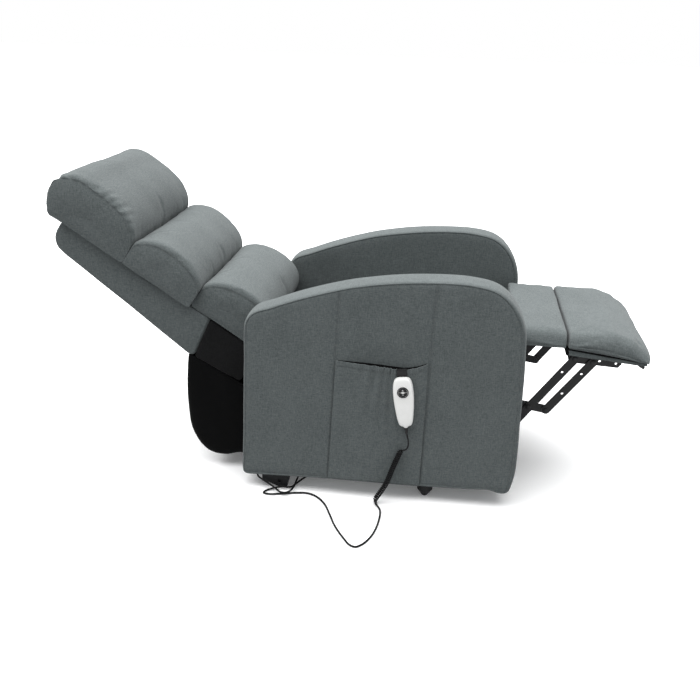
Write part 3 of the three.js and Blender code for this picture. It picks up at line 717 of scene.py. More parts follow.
    def swell(self, amount, u_range, v_range, x_peak):
        """Fills the form out over a range of the back's plane, most of all at x_peak."""
        u, v = on_plane(self.rest[:, 1:]).T
        where = smooth_step(u, *u_range) * smooth_step(v, *v_range)
        half = np.abs(self.x).max()
        span = np.where(self.x < x_peak, x_peak + half, half - x_peak)
        push(self.obj, amount * where * np.clip(1 - ((self.x - x_peak) / span) ** 2, 0, 1))

    def uneven(self, wavelength, amount, seed):
        push(self.obj, ripple(self.rest, wavelength, amount, seed) * np.where(self.held_all, 0.1, 1.0))

    def stitch_lines(self):
        """Closed lines of points and normals, two rings inside the seam at each side."""
        co, nrm = millimetres(self.obj), vertex_normals(self.obj)
        out = []
        for r, way in zip(self.seam_rings(), (1, -1)):
            first = (r + way * 2) * self.count
            out.append((co[first : first + self.count], nrm[first : first + self.count], True))
        return out

    def finish(self, body, slot, replaced, fill):
        finish_padded(self.obj, body, slot, replaced)


def finish_padded(obj, body, slot, replaced):
    subdivided(obj)
    settle(obj, body, slot, *replaced)


STITCH_LONG, STITCH_GAP, STITCH_R = 3.6, 1.7, 0.45


def stitch_faces():
    """Faces of one stitch: a four-sided spindle with its points at both ends."""
    faces = []
    for k in range(4):
        j = (k + 1) % 4
        faces += [(0, 1 + j, 1 + k), (1 + k, 1 + j, 5 + j, 5 + k), (9, 5 + k, 5 + j)]
    return faces


def stitches(lines):
    """Thread stitches on (points, normals, closed) lines, as one points array and face list."""
    parts = []
    faces = stitch_faces()
    for points, nrm, closed in lines:
        if closed:
            points, nrm = np.vstack([points, points[:1]]), np.vstack([nrm, nrm[:1]])
        run = lengths(points)

        def at(where, values):
            return np.stack([np.interp(where, run, values[:, k]) for k in range(3)], axis=1)

        start = np.arange(0, run[-1] - STITCH_LONG, STITCH_LONG + STITCH_GAP)
        a, b = at(start, points), at(start + STITCH_LONG, points)
        n = unit(at(start + STITCH_LONG / 2, nrm))
        cross = np.cross(unit(b - a), n)
        body = [a - n * 0.3]
        for t in (0.25, 0.75):
            middle = a + (b - a) * t + n * 0.35
            body += [middle + out * STITCH_R for out in (cross, n, -cross, -n)]
        body.append(b - n * 0.3)
        parts += [(spindle, faces) for spindle in np.stack(body, axis=1)]
    return joined(parts)


def sewn(name, lines, body):
    settle(mesh(name, *stitches(lines), THREAD, closed=False), body, "fabric")


# ---------- back ----------
SEAT_HALF, ROLL_HALF = 248.0, 272.0
ROLLS = {
    "head": [
        (-17, 1), (-21, 34), (-20, 66), (-8, 93), (33, 129), (80, 144), (150, 150), (207, 145), (240, 127),
        (259, 96), (262, 62), (247, 22), (225, -1), (204, 1), (110, 1),
    ],
    "mid": [
        (-237, 1), (-243, 34), (-241, 64), (-222, 90), (-190, 108), (-130, 122), (-72, 117), (-34, 98),
        (-12, 76), (-8, 44), (-12, 1), (-70, 1), (-160, 1),
    ],
    "low": [
        (-446, 1), (-462, 40), (-458, 82), (-436, 114), (-384, 131), (-325, 130), (-268, 110), (-235, 80),
        (-229, 46), (-232, 1), (-290, 1), (-390, 1),
    ],
}
# Where each roll meets the next, along the back.
CREASES = {"head": (-15.2, 400), "mid": (-235.7, -15.6), "low": (-600, -236.1)}
ROLL_TUCK, ROLL_DRAW = 3.0, 15.0
SHELL_TOP = 195


def roll_outline(points):
    p = spline(points, closed=True)
    p[:, 1] = np.where(p[:, 0] < SHELL_TOP, np.maximum(p[:, 1], 0.5), p[:, 1])
    return on_back(p)


def against_shell(loop):
    """True for outline points that lie on the shell."""
    u, v = on_plane(loop).T
    return (v < 6) & (u < 225)


def roll_edge(key):
    """The end seam pulls in along the roll's top, and hardly at its creases, the shell and the head's end."""

    def target(loop):
        uv = on_plane(loop)
        weight = smooth_step(uv[:, 1], 30, 100)
        if key == "head":
            weight = weight * (1 - smooth_step(uv[:, 0], 226, 258))
        return loop + unit(loop.mean(0) - loop) * (ROLL_TUCK + (ROLL_DRAW - ROLL_TUCK) * weight)[:, None]

    return target


def pressed(obj, low, high):
    """Flattens a roll where it meets its neighbours."""
    points = millimetres(obj)
    uv = on_plane(points[:, 1:])
    uv[:, 0] = np.clip(uv[:, 0], low, high)
    points[:, 1:] = on_back(uv)
    set_coords(obj, row(points))


def at_uv(u, v):
    return on_back([(u, v)])[0]


HEAD_PUCKERS = [  # (u, v), side, length, width, depth, lean
    ((250, 112), -1, 70, 8.0, 6.0, 0.35),
    ((226, 132), -1, 44, 7.0, 2.4, 0.2),
    ((196, 141), -1, 34, 7.0, 1.3, 0.0),
    ((114, 142), -1, 62, 7.5, 2.9, -0.15),
    ((90, 141), -1, 54, 7.5, 2.5, -0.2),
    ((62, 136), -1, 74, 8.0, 3.5, -0.15),
    ((38, 128), -1, 64, 8.0, 3.0, 0.0),
    ((18, 110), -1, 50, 7.0, 2.0, 0.1),
    ((250, 112), 1, 60, 7.0, 3.0, 0.3),
]
ROLL_SPECS = {"head": (ROLL_HALF, 20.0, 3), "mid": (ROLL_HALF, 19.0, 5), "low": (SEAT_HALF, 17.0, 9)}
PUCKER_ABOVE = 90  # small puckers only form on the upper part of a roll

back_seams = []
for key, (half, turn, seed) in ROLL_SPECS.items():
    outline = roll_outline(ROLLS[key])
    form = Form(
        "cushion_" + key, outline, half, FABRIC, turn, 8.0, 4.0, 3.5, flat=against_shell, edge=roll_edge(key)
    )
    form.puff(4.0, 7.0, 0.012)
    form.groove(1.5, 1.7)
    if key == "head":
        form.swell(9.0, (150, 235), (55, 115), -60.0)
        form.pucker([(at_uv(*place), *rest) for place, *rest in HEAD_PUCKERS])
    form.random_puckers(seed, 32.0, 0.7, ok=lambda p: on_plane(p[None])[0, 1] > PUCKER_ABOVE)
    form.uneven(150, 1.2, 11)
    pressed(form.obj, *CREASES[key])
    back_seams += form.stitch_lines()
    form.finish("back", "fabric", ["roll_" + key], 0.7)

SHELL = [
    (-303, -2), (-322, -124), (-310, -128.5), (140, -83), (170, -76), (186, -58), (190, -40), (190, -8),
    (180, -0.5), (-298, -0.5),
]
shell = Form("back_cover", on_back(rounded(SHELL, 6)), SEAT_HALF - 3, FABRIC, 11.0, plump=1.5, seam_at=85)
shell.groove(1.3, 1.7)
shell.uneven(190, 1.0, 21)
back_seams += shell.stitch_lines()
shell.finish("back", "fabric", ["back_shell"], 0.9)

LOWER = [(-474, -1), (-474, -112), (-322.5, -126), (-303.5, -1)]
lower_outline = on_back(rounded(LOWER, 3))
lower = Form("back_lower_cover", lower_outline, SEAT_HALF - 4, PANEL_CLOTH, 7.0, plump=1.0, seam_at=85)
lower.uneven(110, 1.3, 23)
lower.finish("back", "black_fabric", ["back_lower"], 0.8)

# ---------- seat and footrest ----------
SEAT = [
    (-328, 352), (-322, 347), (218, 347), (226, 356), (226, 452), (208, 464), (40, 479), (-310, 493),
    (-328, 482),
]
seat = Form("seat_pad", rounded(SEAT, 22), SEAT_HALF, FABRIC, 16.0, 10.0, 5.0, flat=lambda p: p[:, 1] < 356)
seat.puff(4.0, 5.0, 0.02)
seat.groove(2.2, 2.4)
seat.random_puckers(15, 46.0, 0.8)
seat.uneven(160, 1.2, 31)
chassis_seams = seat.stitch_lines()
seat.finish("chassis", "fabric", ["seat_cushion"], 0.7)

REAR_PAD = [(229, 346), (334, 346), (334, 403), (229, 403)]
rear_pad = Form("seat_rear_cover", rounded(REAR_PAD, 14), 207.0, PANEL_CLOTH, 10.0, 9.0, plump=0.5)
rear_pad.uneven(90, 1.0, 33)
rear_pad.finish("chassis", "black_fabric", ["seat_rear_pad"], 0.6)


def to_foot(points):
    """Draws outline points straight down or up, nearly onto a polyline of (y, z)."""
    line = np.array(sorted(points), float)

    def target(p):
        y = np.clip(p[:, 0], line[0, 0] + 4, line[-1, 0] - 4)
        return p + 0.94 * (np.column_stack([y, np.interp(p[:, 0], line[:, 0], line[:, 1])]) - p)

    return target


FRONT_PAD = [
    (-478, 451), (-333, 451), (-332, 497), (-337, 501), (-440, 500), (-476, 497.5), (-480, 494), (-480, 462)
]
FRONT_FOOT = to_foot([(-477, 457), (-440, 456), (-370, 458), (-336, 458)])
front = Form(
    "front_pad_cover", rounded(FRONT_PAD, 8), SEAT_HALF, FABRIC, 31.0, 7.0, 1.0, 0.5,
    flat=lambda p: p[:, 1] < 455, seam_at=88, edge=FRONT_FOOT,
)
front.puff(4.0, 2.0, 0.003)
front.groove(1.2, 1.6)
front.uneven(120, 0.6, 17)
front_seams = front.stitch_lines()
front.finish("front_pad", "fabric", ["front_pad"], 0.7)
sewn("stitching_front_pad", front_seams, "front_pad")

# The cloth hinge sewn between the seat and the front pad.
HINGE_HALF, HINGE_T = 232.0, 3.0
HINGE_LINE = [(-304, 458), (-318, 458), (-328, 455.5), (-336, 454.5), (-344, 456), (-356, 458)]
hinge_path = spaced(spline(HINGE_LINE), 15)
hinge_section = rounded([(-1, -1), (1, -1), (1, 1), (-1, 1)], 0.01) * [HINGE_HALF, HINGE_T / 2]
hinge_rows = [[(x, y, z + up) for x, up in hinge_section] for y, z in hinge_path]
hinge = mesh("front_pad_hinge", *loft(np.array(hinge_rows)), FABRIC)
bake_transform(hinge)
settle(hinge, None, "fabric")

END_PAD = [
    (-701, 424), (-480, 450.5), (-479.2, 494), (-484, 498.5), (-546, 501), (-606, 498), (-664, 480),
    (-703, 453), (-713, 436), (-710, 426),
]
END_HALF = 256.0


PAD_FRONT, PAD_REAR = (-701.0, 423.5), (-479.5, 450.0)  # where the end pad meets its board
PAD_SLOPE = (PAD_REAR[1] - PAD_FRONT[1]) / (PAD_REAR[0] - PAD_FRONT[0])


def under_pad(p):
    """True for outline points on the underside of the end pad."""
    return p[:, 1] < PAD_REAR[1] + (p[:, 0] - PAD_REAR[0]) * PAD_SLOPE + 4


END_FOOT = to_foot([(-479, 461), (-505, 460), (-570, 455.5), (-626, 444), (-687, 430), (-714, 428)])
END_PUCKERS = [  # y, length, depth, lean
    (-503, 26, 1.5, 0.1), (-519, 34, 1.9, 0.05), (-537, 22, 1.3, 0.0), (-556, 36, 1.7, -0.05),
    (-578, 26, 1.2, 0.0), (-604, 30, 1.1, -0.1),
]
end = Form(
    "end_pad_cover", rounded(END_PAD, 8), END_HALF, FABRIC, 33.0, 7.0, 1.0, 0.5,
    flat=under_pad, seam_at=88, edge=END_FOOT,
)
end.puff(4.0, 2.5, 0.004)
end.groove(1.2, 1.6)
end.pucker([((y, 492), -1, long, 5.0, deep, lean) for y, long, deep, lean in END_PUCKERS])
end.uneven(120, 0.8, 19)
# The front corners round off towards the chair, the near one most.
CORNER_FROM, CORNER_TO, NEAR_CORNER, FAR_CORNER = 640, 700, 10.0, 4.0
points = millimetres(end.obj)
reach = points[:, 0] / END_HALF
corner = np.where(reach < 0, NEAR_CORNER, FAR_CORNER) * np.abs(reach) ** 8
points[:, 1] += corner * smooth_step(-points[:, 1], CORNER_FROM, CORNER_TO)
set_coords(end.obj, row(points))
end_seams = end.stitch_lines()
end.finish("footrest", "fabric", ["footrest_pad"], 0.7)

BOARD_REAR, BOARD_FRONT, BOARD_T, BOARD_FRONT_T = (-478.0, 434.5), (-700.0, 416.0), 15.0, 7.0
BOARD_TOP_REAR = (BOARD_REAR[0], BOARD_REAR[1] + BOARD_T)
BOARD_TOP_FRONT = (BOARD_FRONT[0], BOARD_FRONT[1] + BOARD_FRONT_T)
BOARD = [BOARD_FRONT, BOARD_REAR, BOARD_TOP_REAR, BOARD_TOP_FRONT]
board_half = SEAT_HALF - 2
board = Form("footrest_board_cover", rounded(BOARD, 5), board_half, FABRIC, 5.0, 7.0, plump=0.3, seam_at=60)
board.uneven(120, 0.5, 35)
board.finish("footrest", "fabric", ["footrest_board"], 1.0)
sewn("stitching_footrest", end_seams, "footrest")

# A black sheet over the top of the board, seen in the gap under the end pad: painted shade that darkens the
# gap.
BOARD_GAP_SHADE = [(-481.0, BOARD_TOP_REAR[1] + 0.7), (-694.0, BOARD_TOP_FRONT[1] + 2.0)]
BOARD_GAP_SHADE_HALF = SEAT_HALF - 3.5
GAP_SHADE_EDGES = [(-1, -0.4), (1, -0.4), (1, 0.4), (-1, 0.4)]
board_rows = [
    [(a * BOARD_GAP_SHADE_HALF, y, z + b) for a, b in GAP_SHADE_EDGES] for y, z in spaced(BOARD_GAP_SHADE, 24)
]
board_gap_shade = mesh("footrest_board_painted_shade", *loft(np.array(board_rows)), DUST_CLOTH, smooth=False)
settle(board_gap_shade, "footrest", "black_fabric")

# Black tape round the board's rear end.
CAP_Y, CAP_Z = (BOARD_REAR[0] + 1.2, BOARD_REAR[0] - 7), BOARD_REAR[1]
END_CAP = [
    (CAP_Y[0], CAP_Z - 0.8), (CAP_Y[0], CAP_Z + BOARD_T - 1.0), (CAP_Y[1], CAP_Z + BOARD_T - 1.6),
    (CAP_Y[1], CAP_Z - 1.6),
]
cap_outline = rounded(END_CAP, 3)
end_cap = Form("footrest_board_end", cap_outline, SEAT_HALF, DUST_CLOTH, 2.5, 3.0, plump=0.2, seam_at=60)
end_cap.finish("footrest", "black_fabric", [], 1.0)

# ---------- arms ----------
ARM_OUTER, ARM_INNER = 350.0, 255.0
ARM_OUTLINE = [
    (-300, 49), (-236, 46.5), (137, 43), (375, 38), (394, 38), (404, 43), (407.5, 55), (407, 105), (405, 220),
    (401, 400), (400, 482), (396, 504), (375, 531), (326, 550), (272, 571), (219, 589), (167, 605),
    (115, 619), (63, 629), (11, 637), (-40, 643), (-91, 647), (-142, 649), (-193, 648), (-244, 641),
    (-272, 633), (-299, 617), (-321, 595), (-339, 568), (-352, 536), (-358, 509), (-363, 425), (-365, 340),
    (-366, 253), (-367, 170), (-365.5, 113), (-358, 68), (-351, 48), (-338, 42), (-318, 43.5),
]
SEAM_IN = 10.0  # how far inside the arm's edge the panel seam runs, on average
ARM_CORNERS = [(406, 50), (-354, 56), (-314, 603), (388, 518)]  # rear foot, front foot, front top, rear top
SEAMS_LOW, SEAMS_HIGH = (158.0, -102.0), (140.0, -117.0)  # where the rear and front seams meet the edge
PANEL_STEP = 9.5
PANEL_TALL = 560.0  # the side panel's height, for the spacing of its rows


def clustered(total, step):
    """Shares from 0 to 1 of a total length, a step apart but close together at both ends."""
    near, first = (1.7, 4.2, 8.5), 15.0
    middle = np.linspace(first, total - first, max(2, int(round((total - 2 * first) / step)) + 1))
    return np.array([0.0, *near, *middle, *[total - d for d in near[::-1]], total]) / total


def stretch_of(line, normal, a, b):
    """The part of the outline between the points nearest a and b, going with the outline's own direction."""
    i = int(np.argmin(((line - a) ** 2).sum(1)))
    j = int(np.argmin(((line - b) ** 2).sum(1)))
    pick = np.arange(i, j + 1 if j > i else j + 1 + len(line)) % len(line)
    return np.hstack([line[pick], normal[pick]])


def arm_grid():
    """The side panel's columns and rows, with its seams on columns of their own, and its four edges."""
    line = spaced(spline(ARM_OUTLINE, closed=True, steps=40), 2400, closed=True)
    normal = normals_2d(line)
    rear_foot, front_foot, front_top, rear_top = ARM_CORNERS
    rear = stretch_of(line, normal, rear_foot, rear_top)
    top = stretch_of(line, normal, rear_top, front_top)
    front_edge = stretch_of(line, normal, front_top, front_foot)[::-1]
    bottom = stretch_of(line, normal, front_foot, rear_foot)[::-1]

    def knots(curve, marks):
        run = lengths(curve[:, :2])
        return np.array([0.0, *[np.interp(-m, -curve[:, 0], run) for m in marks], run[-1]])

    low, high = knots(bottom, SEAMS_LOW), knots(top, SEAMS_HIGH)
    stations, seams = [0.0], [0]
    for k in range(3):
        total = (low[k + 1] - low[k] + high[k + 1] - high[k]) / 2
        stations += [k + share for share in clustered(total, PANEL_STEP)[1:]]
        seams.append(len(stations) - 1)
    rows = clustered(PANEL_TALL, PANEL_STEP)

    def along(curve, where):
        run = lengths(curve[:, :2])
        got = np.stack([np.interp(where, run, curve[:, c]) for c in range(4)], axis=1)
        got[:, 2:] = unit(got[:, 2:])
        return got

    columns = np.array(stations)
    low_edge = along(bottom, np.interp(columns, range(4), low))
    high_edge = along(top, np.interp(columns, range(4), high))
    rear_edge = along(rear, rows * lengths(rear[:, :2])[-1])
    fore_edge = along(front_edge, rows * lengths(front_edge[:, :2])[-1])
    return columns, rows, seams, low_edge, high_edge, rear_edge, fore_edge


ARM_GRID = arm_grid()


def seam_inset(normal):
    """The panel seam runs further from the front edge than from the top."""
    ahead, above = np.clip(-normal[:, 0], 0, 1), np.clip(normal[:, 1], 0, 1)
    return SEAM_IN * (0.9 + 0.38 * ahead**1.5 - 0.16 * above)[:, None]


def arm_panel():
    """The side panel's (y, z) points as (columns, rows), blended from its four edges."""
    w, v = ARM_GRID[:2]
    low, high, rear, fore = (edge[:, :2] - edge[:, 2:] * seam_inset(edge[:, 2:]) for edge in ARM_GRID[3:])
    a = np.clip(1 - w, 0, 1)[:, None, None] ** 1.3
    b = np.clip(w - 2, 0, 1)[:, None, None] ** 1.3
    vv = v[None, :, None]
    grid = (1 - vv) * low[:, None] + vv * high[:, None]
    grid = grid + a * (rear[None] - ((1 - vv) * low[0] + vv * high[0]))
    grid = grid + b * (fore[None] - ((1 - vv) * low[-1] + vv * high[-1]))
    return grid


def edge_distance(grid, seams, with_seams):
    """Distance of each grid point from the panel's edge, and from its nearest seam or edge."""
    columns, rows = grid.shape[:2]
    step_v = np.linalg.norm(np.diff(grid, axis=1), axis=2)
    up = np.concatenate([np.zeros((columns, 1)), np.cumsum(step_v, axis=1)], axis=1)
    vertical = np.minimum(up, up[:, -1:] - up)
    step_u = np.linalg.norm(np.diff(grid, axis=0), axis=2)
    over = np.concatenate([np.zeros((1, rows)), np.cumsum(step_u, axis=0)], axis=0)
    marks = seams if with_seams else (0, columns - 1)
    sideways = np.min([np.abs(over - over[m]) for m in marks], axis=0)
    return np.minimum(vertical, sideways)


ARM_AHEAD = {-1: 0.0, 1: -9.0}  # the far arm stands a little further forward
SIDE_IN = 3.6  # how far the side panels' seams lie inside the arm's faces
BAND = [  # (inset from the outline, depth from the seam) across half of the arm's top band
    (8.4, 1.9), (6.2, 2.1), (3.6, 3.9), (1.5, 7.3), (0.3, 12.0), (-0.3, 18.5), (-1.0, 28.0), (-1.4, 38.0),
    (-1.6, 47.5),
]
# How far the cloth sinks at the pocket's mouth, over what height above it, and the mouth's height.
DIP, DIP_RISE, DIP_Z = 6.0, 46.0, 402.0


def mouth_dip(y, z):
    """How far the arm's cloth sinks towards the pocket's mouth and behind the pocket."""
    below = 1 - smooth_step(DIP_Z - z, 60, 160)
    above = np.where(z > DIP_Z, np.exp(-(((z - DIP_Z) / DIP_RISE) ** 2)), below)
    return DIP * above * smooth_step(y, -104, -40) * (1 - smooth_step(y, 40, 140))


def arm_rise(grid, seams, with_seams):
    """How full the side panel is, with a groove at its seams, and the distance to the nearest of them."""
    d = edge_distance(grid, seams, with_seams)
    rise = 2.2 * (1 - np.exp(-d / 6.0)) + 1.6 * (1 - np.exp(-d / 60.0))
    return rise - 0.8 * np.exp(-((d / 1.2) ** 2)), d


def arm_mesh(name, side, replaced):
    """One arm: an outer and an inner side panel, and a band between them all round."""
    seams = ARM_GRID[2]
    grid = arm_panel()
    columns, rows = grid.shape[:2]
    flat = grid.reshape(-1, 2)
    outer_rise, outer_d = arm_rise(grid, seams, True)
    inner_rise, _ = arm_rise(grid, seams, False)
    sample = np.column_stack([np.full(len(flat), 340.0 * side), flat])
    soft = ripple(sample, 170, 0.8, 41 if side < 0 else 43).reshape(columns, rows)
    soft = soft * (1 - np.exp(-outer_d / 25))
    outer_x = ARM_OUTER - SIDE_IN + outer_rise + soft
    if side < 0:
        outer_x = outer_x - mouth_dip(grid[:, :, 0], grid[:, :, 1])
    inner_x = ARM_INNER + SIDE_IN - inner_rise - soft
    points = [np.column_stack([side * x.reshape(-1), flat]) for x in (outer_x, inner_x)]

    panels, index = sheet_faces(columns, rows)
    ring = [*index[:, 0], *index[-1, 1:], *index[-2::-1, -1], *index[0, -2:0:-1]]
    faces = panels[: -len(ring)]
    low_edge, high_edge, rear_edge, fore_edge = ARM_GRID[3:]
    out = np.vstack([low_edge, fore_edge[1:], high_edge[-2::-1], rear_edge[-2:0:-1]])
    band = [(inset, ARM_OUTER - SIDE_IN + 3.2 - depth) for inset, depth in BAND]
    band += [(inset, ARM_OUTER + ARM_INNER - x) for inset, x in band[-2::-1]]
    m = len(ring)
    near_seam = seam_inset(out[:, 2:]) / SEAM_IN - 1
    for inset, x in band:
        yz = out[:, :2] - out[:, 2:] * (inset * (1 + near_seam * min(1.0, inset / BAND[0][0])))
        here = np.column_stack([np.full(m, side * x), yz])
        here[:, 1:] += out[:, 2:] * ripple(here, 140, 0.5, 47)[:, None]
        points.append(here)
    base = 2 * len(flat)
    loops = [ring, *[list(range(base + r * m, base + (r + 1) * m)) for r in range(len(band))]]
    loops.append([len(flat) + i for i in ring])
    for near, far in zip(loops, loops[1:]):
        faces += [(near[(i + 1) % m], near[i], far[i], far[(i + 1) % m]) for i in range(m)]
    points = np.vstack(points)
    points[:, 1] += ARM_AHEAD[side]
    obj = mesh(name, points, faces, FABRIC)

    points, nrm = millimetres(obj), vertex_normals(obj)
    picks = [(index[seam + shift, 2:-2], False) for seam in seams[1:-1] for shift in (-2, 2)]
    picks += [(loops[2], True), (loops[-3], True)]
    finish_padded(obj, "chassis", "fabric", [replaced])
    return [(points[pick], nrm[pick], closed) for pick, closed in picks]


chassis_seams += arm_mesh("arm_cover_R", -1, "arm_R")
chassis_seams += arm_mesh("arm_cover_L", 1, "arm_L")
sewn("stitching_chassis", chassis_seams, "chassis")
sewn("stitching_back", back_seams, "back")

# ---------- side pocket ----------
POCKET_FOOT, POCKET_TOP = 50.0, 415.0
POCKET_REAR = ((143.0, 411.0), (157.0, POCKET_FOOT))
POCKET_FRONT = ((-107.0, 421.0), (-102.0, POCKET_FOOT))
POCKET_SAG, POCKET_LOW = 18.0, 0.27  # how far the mouth hangs, and where along it
POCKET_COLUMNS, POCKET_ROWS = 176, 84
HEM = 15.0
GATHERS, GATHER_STEP, GATHER_CLEAR = 26, 8.2, 12  # short folds at the mouth, none right behind the handset
POCKET_FOLDS = [  # place along the mouth from the handset, drift, width, length, height
    (68, 0.10, 9.0, 130, 4.4), (50, 0.02, 7.0, 100, 3.4), (34, -0.06, 8.0, 170, 4.2),
    (-26, -0.16, 7.0, 90, 3.6), (96, 0.16, 11.0, 100, 2.4), (-44, -0.05, 6.0, 70, 2.2),
]


def hump(x, width, power=2):
    """1 at x = 0, falling away smoothly over the width."""
    return np.exp(-((x / width) ** power))


def pocket_mesh():
    """Gathered cloth: s runs from the front edge to the rear, t from the foot to the mouth."""
    s = np.linspace(0, 1, POCKET_COLUMNS + 1)[:, None]
    t = (1 - (1 - np.linspace(0, 1, POCKET_ROWS + 1)) ** 1.35)[None, :]
    falling = (1 - np.clip((s - POCKET_LOW) / (1 - POCKET_LOW), 0, 1)) ** 1.1
    low = np.where(s < POCKET_LOW, np.sin(np.pi / 2 * s / POCKET_LOW), falling)
    (front_top, mouth_front), (front_low, _) = POCKET_FRONT
    (rear_top, mouth_rear), (rear_low, _) = POCKET_REAR
    mouth = mouth_front + (mouth_rear - mouth_front) * s - POCKET_SAG * low
    z = POCKET_FOOT + (mouth - POCKET_FOOT) * t
    high = (z - POCKET_FOOT) / (POCKET_TOP - POCKET_FOOT)
    front_y = front_low + (front_top - front_low) * high
    y = front_y + (rear_low + (rear_top - rear_low) * high - front_y) * s
    below = mouth - z
    arch = np.sin(np.pi * s) ** 0.7
    beside = y - HANDSET_Y
    gather = np.zeros_like(z)
    rng = np.random.default_rng(61)
    for k in range(GATHERS):
        at = GATHER_STEP * k - 66 + rng.uniform(-1.5, 1.5)
        if abs(at) < GATHER_CLEAR:
            continue
        wide, long = rng.uniform(1.8, 2.5), rng.uniform(17, 30)
        deep = rng.uniform(4.2, 7.0) * hump(at - 16, 58)
        gather -= deep * hump(beside - at, wide) * hump(below, long)
    for at, drift, wide, long, tall in POCKET_FOLDS:
        off = beside - at - drift * below
        gather += tall * (hump(off, wide) - 0.6 * hump(off - 1.6 * wide, wide)) * hump(below, long)
    pull = hump(beside, 46) * hump(below, 40)
    lift = 3.2 * hump(beside - 16, 58) * hump(below, 30) * (1 - hump(beside, 27, 4))
    cloth = np.stack([np.full(z.size, 3.0), y.ravel(), z.ravel()], axis=1)
    wave = ripple(cloth, 120, 0.9, 63).reshape(z.shape)
    hem = (below < HEM).astype(float)
    x = ARM_OUTER + 1.5 + arch * (1.2 + 5.0 * t**2 + gather + lift + wave * t) + pull
    x = x + 0.9 * hem - 0.9 * hump(below - HEM, 2.0) * arch
    outer = np.stack([-x, y, z], axis=2).reshape(-1, 3)
    inner = outer.copy()
    inner[:, 0] += 1.1 + 1.3 * hem.reshape(-1)
    faces, index = sheet_faces(POCKET_COLUMNS + 1, POCKET_ROWS + 1)
    return np.vstack([outer, inner]), faces, index, int(np.argmin(np.abs(below.mean(0) - HEM)))


pocket_points, pocket_faces, pocket_index, hem_row = pocket_mesh()
pocket = mesh("side_pocket_cover", pocket_points, pocket_faces, FABRIC)
hem_pick = pocket_index[:, hem_row]
hem_line = [(pocket_points[hem_pick], vertex_normals(pocket)[hem_pick], False)]
settle(pocket, "chassis", "fabric", "side_pocket")

# A black sheet on the arm, seen in the pocket's open mouth: painted shadow that darkens the gap behind the
# mouth.
MOUTH_SHADE_DEEP, MOUTH_SHADE_OVER, MOUTH_SHADE_T = 34.0, 1.6, 0.8
mouth_line = pocket_points[pocket_index[:, -1]][4:-4]
mouth_in = np.column_stack([mouth_dip(mouth_line[:, 1], mouth_line[:, 2]), 0 * mouth_line[:, 1:]])
MOUTH_SHADE_BACK, MOUTH_SHADE_FACE = 0.7, 0.7 + MOUTH_SHADE_T
MOUTH_SHADE_CORNERS = [
    (MOUTH_SHADE_BACK, MOUTH_SHADE_OVER), (MOUTH_SHADE_FACE, MOUTH_SHADE_OVER), (MOUTH_SHADE_FACE, -MOUTH_SHADE_DEEP),
    (MOUTH_SHADE_BACK, -MOUTH_SHADE_DEEP),
]
mouth_shade_rows = [
    mouth_line * [0, 1, 1] + mouth_in + [-(ARM_OUTER + off), 0, drop] for off, drop in MOUTH_SHADE_CORNERS
]
mouth_shade_points, mouth_shade_faces = loft(np.stack(mouth_shade_rows, axis=1))
mouth_shade = mesh("side_pocket_painted_shadow", mouth_shade_points, mouth_shade_faces, DUST_CLOTH)
settle(mouth_shade, "chassis", "black_fabric")
sewn("stitching_pocket", hem_line, "chassis")

# ---------- handset ----------
CASE_SIDE = [(27.9, 19), (27.3, 40), (25.4, 54), (21, 65), (13.2, 70.3), (0, 71)]
CASE_FOOT = [
    (27.1, 0.5), (24.8, -26), (21.1, -52.7), (18.1, -63), (14, -68), (8, -70.3), (5.4, -72), (4.2, -74.5)
]
CASE_FAR = [(-y, z) for y, z in [*CASE_SIDE[-2::-1], *CASE_FOOT]]
CASE = [*CASE_SIDE, *CASE_FAR, *CASE_FOOT[::-1]]
CASE_MIDDLE = np.array([0.0, 4.0])
CASE_CORNER = 2.5  # rings further in than this shrink towards the middle
case_loop = spaced(spline(CASE, closed=True), 120, closed=True)
case_normal = normals_2d(case_loop)


def case_ring(inset, out):
    """A ring of the case: inset from its outline, out from its back."""
    p = case_loop - case_normal * min(inset, CASE_CORNER)
    p = CASE_MIDDLE + (p - CASE_MIDDLE) * (1 - max(0.0, inset - CASE_CORNER) / 24)
    return np.column_stack([np.full(len(p), -(HANDSET_BACK + out)), p])


CASE_RINGS = [
    (20, 0.6), (6, 0.3), (2.2, 0.3), (0.8, 1.3), (0.2, 3.5), (0.0, 7), (0.35, 9.6), (0.35, 10.2), (0.0, 10.8),
    (0.1, 14), (0.6, 17.0), (1.6, 19.2), (3.2, 20.7), (6, 21.6), (11, 22.1), (17, 22.3), (22, 22.35),
]
case_points, case_faces = loft(np.stack([case_ring(i, o) for i, o in CASE_RINGS]))
case = mesh("handset_body", on_handset(case_points), case_faces, WHITE)
subdivided(case)
settle(case, "chassis", "white_plastic", "handset_case")

KEYPAD_Z, BUTTON_R, BUTTON_GAP, BUTTON_NOTCH = 32.5, 12.0, 1.3, 5.8
FACE_X = -(HANDSET_BACK + HANDSET_THICK)


def keypad_point(points):
    """(out of the face, across, up) about the keypad's middle."""
    p = np.asarray(points, float)
    return on_handset(np.column_stack([FACE_X - p[:, 0], p[:, 1], p[:, 2] + KEYPAD_Z]))


def ring_mesh(profile, sides=48):
    """A ring round the keypad's middle with a closed (radius, out) section."""
    m = len(profile)
    points = [(out, r * math.cos(t), r * math.sin(t)) for t in circle(sides)[:, 0] for r, out in profile]
    faces = []
    for i in range(sides):
        j = (i + 1) % sides
        for k in range(m):
            after = (k + 1) % m
            faces.append((i * m + k, i * m + after, j * m + after, j * m + k))
    return keypad_point(points), faces


def on_keypad(name, material, loop, middle, steps):
    """A low raised shape on the keypad, in steps of (share of its size, height)."""
    points, faces = layered(loop, middle, steps)
    return mesh(name, keypad_point(points), faces, material)


RING_SECTION = [(13.2, 0.2), (13.2, 2.0), (13.7, 2.4), (14.8, 2.3), (15.5, 1.7), (15.5, 0.2)]
settle(mesh("keypad_bezel", *ring_mesh(RING_SECTION), BLACK), "chassis", "black_plastic", "keypad_ring")

